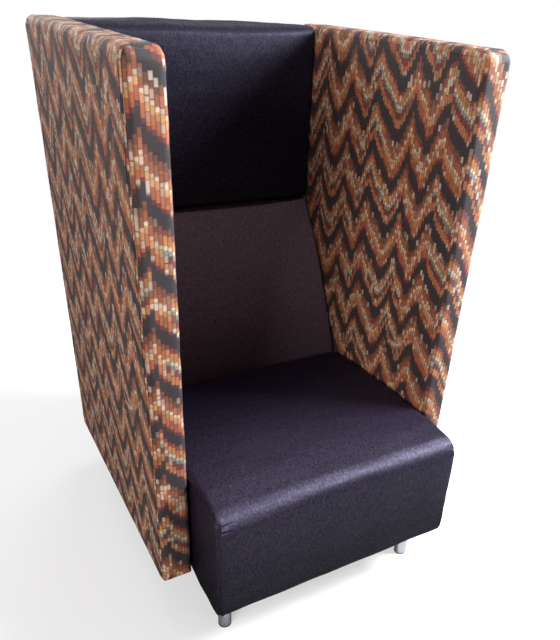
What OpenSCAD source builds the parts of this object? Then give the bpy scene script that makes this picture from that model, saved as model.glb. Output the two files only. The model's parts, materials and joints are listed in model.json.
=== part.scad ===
// Acoustic high back lounge chair: a seat and a stepped back between two tall padded wings, on four round legs.
// Millimetres. X runs across the chair, the sitter faces -Y, Z is up and the floor is at Z = 0.
// The origin lies on the floor, midway between the outer faces and midway between the seat's front and the back's rear.

/* [Overall] */
// Clear width between the two wings
gap_w = 700; // [620:10:860]
// Height of the chair's underside above the floor
leg_h = 150; // [100:5:220]
// Distance that the seat stands out in front of the wings
seat_projection = 165; // [100:5:220]
// Thickness of the upholstery fabric with its lining
cover_t = 1.5; // [1:0.1:2.5]
// Clearance between a cover, its foam and the frame
fit_gap = 0.3; // [0.2:0.05:0.5]

/* [Wings] */
// Thickness of a wing
wing_t = 80; // [68:1:100]
// Depth of a wing from front to rear
wing_d = 810; // [760:10:900]
// Height of a wing above its underside
wing_h = 1215; // [1120:5:1320]
// Rounding of a wing's long edges
wing_edge_r = 17; // [10:1:24]
// Rounding of a wing's top corners, seen from the side
wing_corner_r = 26; // [18:1:50]
// Rounding of a wing's lower edges
wing_base_r = 8; // [4:1:12]
// Thickness of the foam on a wing's faces
wing_foam_t = 14; // [10:1:18]
// Thickness of the foam on a wing's front, top and rear edges
wing_edge_foam_t = 22; // [15:1:30]
// Thickness of the hardboard under the face foam
wing_board_t = 3; // [2:0.5:4]
// Width of a wing's stiles and rails
wing_stile_w = 45; // [38:1:60]
// Distance from a wing's front or rear to its sewn corner seam
wing_seam_setback = 12; // [6:1:24]

/* [Seat] */
// Clear depth of the seat, from its front to the back cushion
seat_d = 615; // [560:5:660]
// Height of the seat's top line above the underside, at its front
seat_top_h = 314; // [280:1:340]
// Drop of the seat's top line from front to rear
seat_rear_drop = 28; // [0:1:30]
// Crown of the seat from front to rear
seat_long_crown = 14; // [4:1:20]
// Crown of the seat from side to side
seat_cross_crown = 9; // [2:1:16]
// Rounding of the seat's front top edge
seat_front_r = 42; // [25:1:60]
// Rounding of the seat's lower front edge
seat_base_r = 14; // [6:1:20]
// Rounding of the seat's rear top edge
seat_rear_r = 12; // [6:1:20]
// Rounding of the seat's side edges
seat_edge_r = 18; // [8:1:26]
// Thickness of the foam round the base box
wrap_t = 10; // [6:1:14]
// Height of the webbing deck above the underside
deck_h = 168; // [150:1:190]
// Width of the fabric hem turned under the chair
hem_w = 30; // [15:1:40]

/* [Back] */
// Height of the step between the two back cushions, above the underside
split_h = 727; // [680:1:780]
// Height of the crease between the seat and the back, above the underside
crease_h = 274; // [265:1:290]
// Depth of the upper back cushion, from its face to the chair's rear
upper_back_d = 122; // [116:1:140]
// Distance of the lower cushion's top edge in front of the upper cushion's face
lower_top_step = 7; // [0:1:15]
// Bulge of the lower cushion's sloping face
lower_bulge = 19; // [5:1:30]
// Thickness of the lower cushion's foam, measured along Y
lower_foam_t = 60; // [45:1:66]
// Crown of the back cushions from side to side
back_cross_crown = 7; // [2:1:14]
// Crown of the upper cushion's top edge
back_top_crown = 5; // [0:1:14]
// Rounding of the upper cushion's top edges
upper_top_r = 24; // [12:1:30]
// Rounding of the upper cushion's lower front edge
upper_base_r = 11; // [4:1:18]
// Rounding of the lower cushion's top edge
lower_top_r = 10; // [5:1:16]
// Rounding of the back cushions' side edges
back_edge_r = 14; // [8:1:20]
// Gap between the two back cushions at the step
split_gap = 1; // [0.5:0.1:2]
// Thickness of the padding behind the back
rear_pad_t = 15; // [8:1:20]
// Height of the strip that the upper cover turns down behind the back
rear_hem_h = 45; // [35:1:60]

/* [Timber] */
// Thickness of the plywood boards and ribs
ply_t = 18; // [15:1:21]
// Width and depth of the back posts and rails
post_w = 45; // [40:1:48]
// Thickness of the board behind the upper cushion
upper_board_t = 9; // [6:1:12]
// Thickness of the board behind the posts
rear_board_t = 3; // [2:0.5:4]
// Thickness of the flat deck rail under the crease
deck_rail_t = 24; // [18:1:36]
// Overhang of the deck rail past the cushions that it carries
deck_rail_lap = 25; // [15:1:35]
// Height of a corner block
block_h = 45; // [40:1:60]
// Timber left around a leg's centre in its corner block
block_wall = 32; // [24:1:40]
// Depth of a back rib at its upper end
rib_tip = 12; // [8:1:20]

/* [Webbing] */
// Thickness of the elastic webbing
strap_t = 2; // [1.5:0.1:3]
// Width of the webbing
strap_w = 60; // [50:1:70]
// Number of straps that run from front to rear
long_straps = 6; // [4:1:7]
// Number of straps that run across the seat
cross_straps = 4; // [3:1:6]
// Number of straps across the back
back_straps = 5; // [3:1:5]

/* [Legs] */
// Diameter of a leg's tube
leg_d = 35; // [28:1:45]
// Wall of a leg's tube
leg_wall = 2; // [1.5:0.1:3]
// Distance of a leg's centre from the side of the seat
leg_side_inset = 57; // [50:1:80]
// Distance of a front leg's centre from the front of the seat
leg_front_inset = 97; // [70:1:110]
// Distance of a rear leg's centre from the rear of the chair
leg_rear_inset = 92; // [88:1:120]
// Thickness of the plug welded into the top of a leg
leg_plug_t = 5; // [4:0.5:8]
// Diameter of the stud on a leg
stud_d = 8; // [6:1:10]
// Height of the stud above the underside
stud_h = 34; // [26:1:38]
// Height of a glide's foot below its tube
glide_foot_h = 4; // [3:0.5:8]
// Height of a glide's plug inside its tube
glide_plug_h = 18; // [10:1:25]
// Clearance round a glide's plug, a stud and a bolt
running_gap = 0.1; // [0.05:0.01:0.2]

/* [Fixings] */
// Diameter of the bolts that hold the wings
bolt_d = 8; // [6:1:10]
// Width across the flats of a bolt's head
bolt_head_w = 13; // [10:1:16]
// Height of a bolt's head
bolt_head_h = 5.3; // [4:0.1:7]
// Outer diameter of a bolt's washer
washer_d = 24; // [20:1:30]
// Thickness of a bolt's washer
washer_t = 2; // [1.5:0.1:2.5]
// Outer diameter of a threaded insert
insert_d = 12; // [12:1:14]
// Length of a threaded insert
insert_h = 20; // [14:1:22]
// Height of the lower wing bolts above the underside
low_bolt_h = 90; // [80:1:110]
// Distance of the middle wing bolts below the step in the back
mid_bolt_drop = 80; // [60:1:120]
// Distance of the upper wing bolts below the top of the posts
high_bolt_drop = 90; // [70:1:120]

/* [Hidden] */
$fn = 48;
left = -1;
right = 1;
front = -1;
rear = 1;

// Colours, as the photo shows them
navy = [0.13, 0.12, 0.2];
print_brown = [0.5, 0.29, 0.19];
foam_cream = [0.93, 0.88, 0.72];
timber = [0.82, 0.68, 0.48];
plywood = [0.86, 0.74, 0.55];
hardboard = [0.47, 0.33, 0.22];
felt_grey = [0.6, 0.6, 0.58];
webbing_black = [0.12, 0.12, 0.12];
lining_black = [0.08, 0.08, 0.09];
bright_steel = [0.8, 0.81, 0.83];
zinc = [0.66, 0.67, 0.7];
glide_grey = [0.3, 0.3, 0.32];

// Least rounding that an inset outline keeps
least_r = 0.5;
// Overrun of every cut past the face that it opens
cut_over = 5;
// Space left between the end of a stud or bolt and the bottom of its hole
tip_gap = 3;
// Clearance between the seat or back and a wing
side_gap = 0.5;
// Steps in a small rounding, in a large rounding and along a face
small_arc_steps = 3;
large_arc_steps = 7;
face_steps = 8;
// Steps in a wing's rounding
wing_arc_steps = 6;
// Steps across the middle of a cushion
cross_steps = 6;
// Steps up the face of the upper cushion
upper_face_steps = 3;
// Sides of a bolt's head
bolt_head_sides = 6;

// Levels and planes
under_z = leg_h;
top_z = under_z + wing_h;
front_y = -(wing_d + seat_projection) / 2;
wing_front_y = front_y + seat_projection;
rear_y = wing_front_y + wing_d;
foam_in = cover_t + fit_gap;
frame_z = under_z + foam_in;
cushion_half_w = gap_w / 2 - side_gap;

// Base box
base_half_w = cushion_half_w - foam_in - wrap_t;
base_front_y = front_y + foam_in + wrap_t;
side_inner_x = base_half_w - ply_t;
deck_z = under_z + deck_h;
rail_top_z = deck_z + strap_t + fit_gap;
webbing_top_z = rail_top_z + strap_t;
seat_rear_y = front_y + seat_d;

// Back
back_face_y = rear_y - upper_back_d;
back_form_rear_y = rear_y - foam_in;
post_rear_y = rear_y - foam_in - rear_pad_t - rear_board_t;
post_front_y = post_rear_y - post_w;
post_inner_x = base_half_w - post_w;
post_top_z = top_z - foam_in - upper_top_r;
split_z = under_z + split_h;
crease_z = under_z + crease_h;
lower_front_y = seat_rear_y + side_gap;
lower_rear_y = post_front_y - fit_gap;
lower_top_z = split_z - split_gap;
lower_top_y = back_face_y - lower_top_step;
upper_board_y = post_front_y - upper_board_t;

// Slope of the lower cushion's rear, as Y over Z, and the webbing's thickness along Y
rib_top_z = split_z - post_w / 2;
foam_rear_y = lower_front_y + lower_foam_t;
// Share added to the webbing's thickness along Y for its slope
slope_share = 0.12;
slope_run = post_front_y - rib_tip - strap_t * (1 + slope_share) - foam_rear_y;
slope_angle = atan(slope_run / (rib_top_z - crease_z));
strap_depth_y = (strap_t + fit_gap) / cos(slope_angle);
slope_length = (rib_top_z - crease_z) / cos(slope_angle);

// Wing stack, measured from a wing's inner face to its outer face
wing_foam_u = foam_in;
wing_board_u = wing_foam_u + wing_foam_t;
wing_core_u = wing_board_u + wing_board_t;
wing_core_t = wing_t - 2 * wing_core_u;
wing_frame_y0 = wing_front_y + foam_in + wing_edge_foam_t;
wing_frame_y1 = rear_y - foam_in - wing_edge_foam_t;
wing_frame_z1 = top_z - foam_in - wing_edge_foam_t;
wing_frame_h = wing_frame_z1 - frame_z;
wing_bays = 3;
wing_bay_h = (wing_frame_h - (wing_bays + 1) * wing_stile_w) / wing_bays;

// Legs
leg_x = cushion_half_w - leg_side_inset;
front_leg_y = front_y + leg_front_inset;
rear_leg_y = rear_y - leg_rear_inset;

// Wing bolts, as places of Y and Z
post_mid_y = (post_front_y + post_rear_y) / 2;
front_bolt_y = wing_frame_y0 + wing_stile_w / 2;
low_bolt_z = under_z + low_bolt_h;
rear_bolt_places = [
    [post_mid_y, low_bolt_z],
    [post_mid_y, split_z - mid_bolt_drop],
    [post_mid_y, post_top_z - high_bolt_drop]
];
front_bolt_places = [[front_bolt_y, low_bolt_z]];
insert_end_x = gap_w / 2 + wing_core_u + insert_h;

// Points along an arc about a centre
function arc_points(cx, cy, r, from_a, to_a, steps) = [
    for (k = [0:steps])
        let (a = from_a + (to_a - from_a) * k / steps)
        [cx + r * cos(a), cy + r * sin(a)]
];

// Outline of a rectangle with two radii: one for its upper corners and one for its lower corners
function rounded_outline(x0, y0, x1, y1, upper_r, lower_r, steps) = concat(
    arc_points(x0 + lower_r, y0 + lower_r, lower_r, 180, 270, steps),
    arc_points(x1 - lower_r, y0 + lower_r, lower_r, 270, 360, steps),
    arc_points(x1 - upper_r, y1 - upper_r, upper_r, 0, 90, steps),
    arc_points(x0 + upper_r, y1 - upper_r, upper_r, 90, 180, steps)
);

// Mean of a list of points
function mean_point(points) = ([for (p = points) 1] * points) / len(points);

// Point and tangent of a quadratic curve through three control points
function curve_point(a, b, c, t) = (1 - t) * (1 - t) * a + 2 * t * (1 - t) * b + t * t * c;
function curve_tangent(a, b, c, t) = 2 * (1 - t) * (b - a) + 2 * t * (c - b);

// Stations across a cushion, each with the extra inset that rounds its side edges
function side_stations(half_w, r, arc_steps, mid_steps) = concat(
    [for (k = [0:arc_steps]) let (a = 90 * k / arc_steps) [-half_w + r * (1 - cos(a)), r * (1 - sin(a))]],
    [for (k = [1:mid_steps - 1]) [(half_w - r) * (2 * k / mid_steps - 1), 0]],
    [for (k = [arc_steps:-1:0]) let (a = 90 * k / arc_steps) [half_w - r * (1 - cos(a)), r * (1 - sin(a))]]
);

// A closed solid through sections of equal point counts
module loft(sections) {
    n = len(sections[0]);
    m = len(sections);
    points = concat([for (s = sections) each s], [mean_point(sections[0]), mean_point(sections[m - 1])]);
    walls = [
        for (j = [0:m - 2], k = [0:n - 1])
            let (a = j * n + k, b = j * n + (k + 1) % n)
            each [[a, b, a + n], [b, b + n, a + n]]
    ];
    first_end = [for (k = [0:n - 1]) [k, m * n, (k + 1) % n]];
    last_end = [for (k = [0:n - 1]) [(m - 1) * n + k, (m - 1) * n + (k + 1) % n, m * n + 1]];
    polyhedron(points = points, faces = concat(walls, first_end, last_end), convexity = 4);
}

// Height of the seat's top line at a place from front to rear
function seat_top_z(y) =
    let (s = (y - front_y) / seat_d)
    under_z + seat_top_h - seat_rear_drop * s + 4 * seat_long_crown * s * (1 - s);

// Side profile of the seat, inset all round: each point is Y, Z and how far it follows the side to side crown
function seat_profile(inset) =
    let (
        f = front_y + inset,
        r = seat_rear_y - inset,
        b = under_z + inset,
        front_r = max(seat_front_r - inset, least_r),
        base_r = max(seat_base_r - inset, least_r),
        rear_r = max(seat_rear_r - inset, least_r),
        front_z = seat_top_z(f + front_r) - inset,
        rear_z = seat_top_z(r - rear_r) - inset
    )
    concat(
        [[r, b, 0]],
        [for (p = arc_points(f + base_r, b + base_r, base_r, 270, 180, small_arc_steps)) [p[0], p[1], 0]],
        [
            for (p = arc_points(f + front_r, front_z - front_r, front_r, 180, 90, large_arc_steps))
                [p[0], p[1], (p[1] - front_z + front_r) / front_r]
        ],
        [
            for (k = [1:face_steps - 1])
                let (y = f + front_r + (r - rear_r - f - front_r) * k / face_steps)
                [y, seat_top_z(y) - inset, 1]
        ],
        [
            for (p = arc_points(r - rear_r, rear_z - rear_r, rear_r, 90, 0, small_arc_steps))
                [p[0], p[1], 1]
        ]
    );

// The seat's outer form, inset all round
module seat_form(inset) {
    half_w = cushion_half_w - inset;
    edge_r = max(seat_edge_r - inset, least_r);
    loft([
        for (s = side_stations(half_w, edge_r, small_arc_steps, cross_steps))
            let (drop = seat_cross_crown * pow(s[0] / half_w, 2))
            [for (p = seat_profile(inset + s[1])) [s[0], p[0], p[1] - drop * p[2]]]
    ]);
}

// Side profile of the lower back cushion, inset all round
lower_face_a = [lower_front_y, crease_z];
lower_face_c = [lower_top_y, lower_top_z - lower_top_r];
lower_face_chord = lower_face_c - lower_face_a;
lower_face_b = (lower_face_a + lower_face_c) / 2
    + 2 * lower_bulge * [-lower_face_chord[1], lower_face_chord[0]] / norm(lower_face_chord);

function lower_face_point(t, inset) =
    let (
        p = curve_point(lower_face_a, lower_face_b, lower_face_c, t),
        d = curve_tangent(lower_face_a, lower_face_b, lower_face_c, t)
    )
    p + inset * [d[1], -d[0]] / norm(d);

function lower_profile(inset) =
    let (
        r = lower_rear_y - inset,
        b = rail_top_z + fit_gap,
        z1 = lower_top_z - inset,
        d = curve_tangent(lower_face_a, lower_face_b, lower_face_c, 1),
        e = lower_face_point(1, inset),
        q = [e[0] + (z1 - e[1]) * d[0] / d[1], z1],
        g = q + [lower_top_r, 0]
    )
    concat(
        [[r, b, 0], [lower_front_y + inset, b, 0]],
        [
            for (k = [0:face_steps])
                let (t = k / face_steps, p = lower_face_point(t, inset))
                [max(p[0], lower_front_y + inset), p[1], sin(90 * min(1, 3 * t))]
        ],
        [
            for (k = [1:small_arc_steps])
                let (p = curve_point(e, q, g, k / small_arc_steps))
                [p[0], p[1], 1 - k / small_arc_steps]
        ],
        [[r, z1, 0]]
    );

// The lower back cushion's outer form, inset all round
module lower_form(inset) {
    half_w = cushion_half_w - inset;
    edge_r = max(back_edge_r - inset, least_r);
    loft([
        for (s = side_stations(half_w, edge_r, small_arc_steps, cross_steps))
            let (drop = back_cross_crown * pow(s[0] / half_w, 2))
            [for (p = lower_profile(inset + s[1])) [s[0], p[0] + drop * p[2], p[1]]]
    ]);
}

// Side profile of the upper back cushion: Y, Z, its share of the face's crown and its share of the top's crown
function upper_profile(inset) =
    let (
        f = back_face_y + inset,
        r = back_form_rear_y - inset,
        b = split_z + inset,
        t = top_z - inset,
        top_r = max(upper_top_r - inset, least_r),
        base_r = max(upper_base_r - inset, least_r)
    )
    concat(
        [[r, b, 0, 0]],
        [for (p = arc_points(f + base_r, b + base_r, base_r, 270, 180, small_arc_steps)) [p[0], p[1], 1, 0]],
        [for (k = [1:upper_face_steps - 1]) [f, b + base_r + (t - top_r - b - base_r) * k / upper_face_steps, 1, 0]],
        [for (p = arc_points(f + top_r, t - top_r, top_r, 180, 90, large_arc_steps - 1)) [p[0], p[1], 1, 1]],
        [for (p = arc_points(r - top_r, t - top_r, top_r, 90, 0, large_arc_steps - 1)) [p[0], p[1], 0, 1]]
    );

// The upper back cushion's outer form, inset all round
module upper_form(inset) {
    half_w = cushion_half_w - inset;
    edge_r = max(back_edge_r - inset, least_r);
    loft([
        for (s = side_stations(half_w, edge_r, small_arc_steps, cross_steps))
            let (
                face_drop = back_cross_crown * pow(s[0] / half_w, 2),
                top_drop = back_top_crown * pow(s[0] / half_w, 2)
            )
            [for (p = upper_profile(inset + s[1])) [s[0], p[0] + face_drop * p[2], p[1] - top_drop * p[3]]]
    ]);
}

// A box between two corners
module box_between(low, high) {
    translate(low)
        cube(high - low);
}

// Places a wing's own piece, whose X runs from the wing's inner face to its outer face
module on_wing(side) {
    mirror([side < 0 ? 1 : 0, 0, 0])
        translate([gap_w / 2, 0, 0])
            children();
}

// A wing's outer form, inset all round: three rounded outlines crossed
module wing_form(inset) {
    u0 = inset;
    u1 = wing_t - inset;
    y0 = wing_front_y + inset;
    y1 = rear_y - inset;
    z0 = under_z + inset;
    z1 = top_z - inset;
    edge_r = max(wing_edge_r - inset, least_r);
    corner_r = max(wing_corner_r - inset, least_r);
    base_r = max(wing_base_r - inset, least_r);
    intersection() {
        translate([0, 0, z0])
            linear_extrude(height = z1 - z0)
                polygon(rounded_outline(u0, y0, u1, y1, edge_r, edge_r, wing_arc_steps));
        translate([0, y1, 0])
            rotate([90, 0, 0])
                linear_extrude(height = y1 - y0)
                    polygon(rounded_outline(u0, z0, u1, z1, edge_r, base_r, wing_arc_steps));
        rotate([90, 0, 90])
            translate([0, 0, u0])
                linear_extrude(height = u1 - u0)
                    polygon(rounded_outline(y0, z0, y1, z1, corner_r, base_r, wing_arc_steps));
    }
}

// Round holes along X through the layers that the wing bolts cross, in a wing's own places
module wing_bolt_holes(r, u0, u1) {
    for (p = concat(rear_bolt_places, front_bolt_places))
        translate([u0, p[0], p[1]])
            rotate([0, 90, 0])
                cylinder(r = r, h = u1 - u0);
}

// The same holes through the pieces between the wings, on both sides
module chair_bolt_holes(r, places, x0, x1) {
    for (side = [left, right], p = places)
        mirror([side < 0 ? 1 : 0, 0, 0])
            translate([x0, p[0], p[1]])
                rotate([0, 90, 0])
                    cylinder(r = r, h = x1 - x0);
}

bolt_hole_r = bolt_d / 2 + fit_gap;

// The fabric shell of a whole wing, open underneath inside its hem
module wing_shell() {
    difference() {
        wing_form(0);
        wing_form(cover_t);
        box_between(
            [hem_w / 2, wing_front_y + hem_w, under_z - cut_over],
            [wing_t - hem_w / 2, rear_y - hem_w, frame_z]
        );
        wing_bolt_holes(bolt_hole_r, -cut_over, cut_over);
    }
}

// The part of a wing's fabric shell between two planes across the chair
module wing_shell_between(y0, y1) {
    intersection() {
        wing_shell();
        box_between([-cut_over, y0, under_z - cut_over], [wing_t + cut_over, y1, top_z + cut_over]);
    }
}

// Sleeve of printed fabric over a wing's inner face, top and outer face
module wing_cover(side) {
    color(print_brown)
        on_wing(side)
            wing_shell_between(wing_front_y + wing_seam_setback, rear_y - wing_seam_setback);
}

// Separate band of printed fabric sewn to the front edge of a wing
module wing_front_band(side) {
    color(print_brown)
        on_wing(side)
            wing_shell_between(wing_front_y - cut_over, wing_front_y + wing_seam_setback);
}

// Separate band of printed fabric sewn to the rear edge of a wing
module wing_rear_band(side) {
    color(print_brown)
        on_wing(side)
            wing_shell_between(rear_y - wing_seam_setback, rear_y + cut_over);
}

// Lining stapled under a wing, inside the hem
module wing_base_cloth(side) {
    color(lining_black)
        on_wing(side)
            box_between(
                [hem_w / 2 + fit_gap, wing_front_y + hem_w + fit_gap, under_z],
                [wing_t - hem_w / 2 - fit_gap, rear_y - hem_w - fit_gap, under_z + cover_t]
            );
}

// The space inside a wing's cover, cut to a slab between two distances from its inner face
module wing_slab(u0, u1) {
    intersection() {
        wing_form(foam_in);
        box_between(
            [u0, wing_front_y - cut_over, under_z - cut_over],
            [u1, rear_y + cut_over, top_z + cut_over]
        );
    }
}

// Foam sheet on the outer face of a wing
module wing_outer_foam(side) {
    color(foam_cream)
        on_wing(side)
            wing_slab(wing_t - wing_board_u + fit_gap, wing_t);
}

// Foam sheet on the inner face of a wing
module wing_inner_foam(side) {
    color(foam_cream)
        on_wing(side)
            difference() {
                wing_slab(0, wing_board_u - fit_gap);
                wing_bolt_holes(bolt_hole_r, -cut_over, wing_board_u + cut_over);
            }
}

// Foam strip round the front, top and rear edges of a wing's frame
module wing_edge_foam(side) {
    color(foam_cream)
        on_wing(side)
            difference() {
                wing_slab(wing_board_u, wing_t - wing_board_u);
                box_between(
                    [0, wing_frame_y0 - fit_gap, under_z - cut_over],
                    [wing_t, wing_frame_y1 + fit_gap, wing_frame_z1 + fit_gap]
                );
            }
}

// Hardboard sheet over the outer side of a wing's frame
module wing_outer_board(side) {
    color(hardboard)
        on_wing(side)
            box_between(
                [wing_t - wing_core_u, wing_frame_y0, frame_z],
                [wing_t - wing_board_u, wing_frame_y1, wing_frame_z1]
            );
}

// Hardboard sheet over the inner side of a wing's frame
module wing_inner_board(side) {
    color(hardboard)
        on_wing(side)
            difference() {
                box_between([wing_board_u, wing_frame_y0, frame_z], [wing_core_u, wing_frame_y1, wing_frame_z1]);
                wing_bolt_holes(bolt_hole_r, 0, wing_core_u + cut_over);
            }
}

// The two upright stiles of a wing's frame, bored for the threaded inserts
module wing_stiles(side) {
    color(timber)
        on_wing(side)
            difference() {
                for (y = [wing_frame_y0, wing_frame_y1 - wing_stile_w])
                    box_between(
                        [wing_core_u, y, frame_z],
                        [wing_core_u + wing_core_t, y + wing_stile_w, wing_frame_z1]
                    );
                wing_bolt_holes(insert_d / 2, 0, wing_core_u + insert_h + tip_gap);
            }
}

// The cross rails of a wing's frame
module wing_rails(side) {
    color(timber)
        on_wing(side)
            for (k = [0:wing_bays])
                let (z = frame_z + k * (wing_bay_h + wing_stile_w))
                box_between(
                    [wing_core_u, wing_frame_y0 + wing_stile_w, z],
                    [wing_core_u + wing_core_t, wing_frame_y1 - wing_stile_w, z + wing_stile_w]
                );
}

// Sound-absorbing felt slabs between the rails of a wing
module wing_infill(side) {
    color(felt_grey)
        on_wing(side)
            for (k = [0:wing_bays - 1])
                let (z = frame_z + wing_stile_w + k * (wing_bay_h + wing_stile_w))
                box_between(
                    [wing_core_u + fit_gap, wing_frame_y0 + wing_stile_w + fit_gap, z + fit_gap],
                    [
                        wing_core_u + wing_core_t - fit_gap,
                        wing_frame_y1 - wing_stile_w - fit_gap,
                        z + wing_bay_h - fit_gap
                    ]
                );
}

// Fabric over the seat: front, top, sides, the short face in the crease and a hem underneath
module seat_cover() {
    color(navy)
        difference() {
            seat_form(0);
            seat_form(cover_t);
            box_between(
                [hem_w - cushion_half_w, front_y + hem_w, under_z - cut_over],
                [cushion_half_w - hem_w, seat_rear_y + cut_over, frame_z]
            );
            box_between(
                [foam_in - cushion_half_w, seat_rear_y - hem_w, under_z - cut_over],
                [cushion_half_w - foam_in, seat_rear_y + cut_over, webbing_top_z + fit_gap]
            );
            chair_bolt_holes(bolt_hole_r, front_bolt_places, base_half_w, gap_w / 2 + cut_over);
        }
}

// Foam block of the seat, on the webbing
module seat_foam() {
    color(foam_cream)
        intersection() {
            seat_form(foam_in);
            box_between(
                [-gap_w / 2, front_y, webbing_top_z + fit_gap],
                [gap_w / 2, seat_rear_y, webbing_top_z + seat_top_h]
            );
        }
}

// Thin foam glued round the front and sides of the base box
module seat_wrap_foam() {
    color(foam_cream)
        difference() {
            seat_form(foam_in);
            box_between(
                [-gap_w / 2, front_y, webbing_top_z],
                [gap_w / 2, seat_rear_y, webbing_top_z + seat_top_h]
            );
            box_between(
                [-base_half_w - fit_gap, base_front_y - fit_gap, under_z],
                [base_half_w + fit_gap, seat_rear_y, webbing_top_z + fit_gap]
            );
            chair_bolt_holes(bolt_hole_r, front_bolt_places, base_half_w - cut_over, gap_w / 2);
        }
}

// Elastic straps from the front board to the deck rail
module seat_webbing_long() {
    pitch = (2 * side_inner_x - strap_w) / (long_straps - 1);
    color(webbing_black)
        for (k = [0:long_straps - 1])
            let (x = k * pitch - side_inner_x)
            box_between(
                [x, base_front_y, rail_top_z],
                [x + strap_w, seat_rear_y - foam_in, webbing_top_z]
            );
}

// Elastic straps across the seat, under the long ones
module seat_webbing_cross() {
    first_y = base_front_y + ply_t + fit_gap;
    last_y = seat_rear_y - deck_rail_lap - fit_gap;
    pitch = (last_y - first_y) / cross_straps;
    color(webbing_black)
        for (k = [0:cross_straps - 1])
            let (y = first_y + k * pitch + (pitch - strap_w) / 2)
            box_between([-base_half_w, y, deck_z], [base_half_w, y + strap_w, deck_z + strap_t]);
}

// Front board of the base box
module base_front_board() {
    color(plywood)
        box_between([-base_half_w, base_front_y, frame_z], [base_half_w, base_front_y + ply_t, rail_top_z]);
}

// Side boards of the base box, from the front board to the back posts
module base_side_boards() {
    color(plywood)
        difference() {
            for (x = [-base_half_w, side_inner_x])
                box_between([x, base_front_y + ply_t, frame_z], [x + ply_t, post_front_y, deck_z]);
            chair_bolt_holes(bolt_hole_r, front_bolt_places, side_inner_x - cut_over, gap_w / 2);
        }
}

// Flat rail across the base box, under the crease between seat and back
module base_deck_rail() {
    color(timber)
        box_between(
            [-side_inner_x, seat_rear_y - deck_rail_lap, rail_top_z - deck_rail_t],
            [side_inner_x, foam_rear_y + deck_rail_lap, rail_top_z]
        );
}

// Corner blocks of the base box, bored for the legs' inserts and studs
module base_corner_blocks() {
    color(timber)
        for (side = [left, right])
            mirror([side < 0 ? 1 : 0, 0, 0])
                difference() {
                    union() {
                        box_between(
                            [leg_x - block_wall, base_front_y + ply_t, frame_z],
                            [side_inner_x, front_leg_y + block_wall, frame_z + block_h]
                        );
                        box_between(
                            [leg_x - block_wall, rear_leg_y - block_wall, frame_z],
                            [side_inner_x, post_front_y, frame_z + block_h]
                        );
                    }
                    for (y = [front_leg_y, rear_leg_y]) {
                        translate([leg_x, y, frame_z - cut_over])
                            cylinder(r = insert_d / 2, h = insert_h + cut_over);
                        translate([leg_x, y, frame_z])
                            cylinder(r = stud_d / 2 + fit_gap, h = stud_h + tip_gap);
                    }
                }
}

// Black lining under the base box: inside the seat's hem in front, and full width behind the seat's fabric
module dust_cover() {
    half_w = cushion_half_w - hem_w - fit_gap;
    lining_top_z = under_z + cover_t;
    color(lining_black)
        difference() {
            union() {
                box_between([-half_w, front_y + hem_w + fit_gap, under_z], [half_w, back_form_rear_y, lining_top_z]);
                box_between(
                    [-cushion_half_w, seat_rear_y + fit_gap, under_z],
                    [cushion_half_w, back_form_rear_y, lining_top_z]
                );
            }
            for (side = [left, right], y = [front_leg_y, rear_leg_y])
                translate([side * leg_x, y, under_z - cut_over])
                    cylinder(r = stud_d / 2 + fit_gap, h = cover_t + 2 * cut_over);
        }
}

// Place of the lower cushion's sloping rear at a height
function slope_y(z) = foam_rear_y + (z - crease_z) * tan(slope_angle);

// Fabric over the lower back cushion, open behind and underneath
module lower_back_cover() {
    color(navy)
        difference() {
            lower_form(0);
            lower_form(cover_t);
            box_between(
                [-gap_w / 2, lower_front_y + foam_in, under_z],
                [gap_w / 2, lower_rear_y + cut_over, rail_top_z + fit_gap + cover_t]
            );
            box_between(
                [foam_in - cushion_half_w, lower_rear_y - foam_in, under_z],
                [cushion_half_w - foam_in, lower_rear_y + cut_over, lower_top_z - cover_t]
            );
        }
}

// Foam of the lower back cushion, cut behind along the webbing
module lower_back_foam() {
    color(foam_cream)
        difference() {
            lower_form(foam_in);
            rotate([90, 0, 90])
                translate([0, 0, -gap_w / 2])
                    linear_extrude(height = gap_w)
                        polygon([
                            [foam_rear_y, under_z],
                            [foam_rear_y, crease_z],
                            [slope_y(top_z), top_z],
                            [rear_y, top_z],
                            [rear_y, under_z]
                        ]);
        }
}

// Elastic straps across the ribs, behind the lower back foam
module lower_back_webbing() {
    pitch = slope_length / back_straps;
    color(webbing_black)
        translate([0, foam_rear_y + strap_depth_y, crease_z])
            rotate([-slope_angle, 0, 0])
                for (k = [0:back_straps - 1])
                    let (z = k * pitch + (pitch - strap_w) / 2)
                    box_between([-base_half_w, -strap_t, z], [base_half_w, 0, z + strap_w]);
}

// One plywood rib behind the lower cushion, standing at a height
module back_rib(x, foot_z) {
    translate([x, 0, 0])
        rotate([90, 0, 90])
            linear_extrude(height = ply_t)
                polygon([
                    [foam_rear_y + strap_depth_y, foot_z],
                    [foam_rear_y + strap_depth_y, crease_z],
                    [slope_y(rib_top_z) + strap_depth_y, rib_top_z],
                    [post_front_y, rib_top_z],
                    [post_front_y, foot_z]
                ]);
}

// Two ribs on the side boards and one on the deck rail
module back_ribs() {
    color(plywood) {
        back_rib(-base_half_w, deck_z);
        back_rib(-ply_t / 2, rail_top_z);
        back_rib(side_inner_x, deck_z);
    }
}

// Fabric over the upper back cushion, open behind below its turned-down hem
module upper_back_cover() {
    color(navy)
        difference() {
            upper_form(0);
            upper_form(cover_t);
            box_between([-gap_w / 2, post_rear_y, under_z], [gap_w / 2, rear_y, top_z - rear_hem_h]);
            box_between(
                [foam_in - cushion_half_w, upper_board_y - fit_gap, under_z],
                [cushion_half_w - foam_in, rear_y, split_z + foam_in]
            );
            chair_bolt_holes(bolt_hole_r, rear_bolt_places, base_half_w, gap_w / 2 + cut_over);
        }
}

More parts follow.
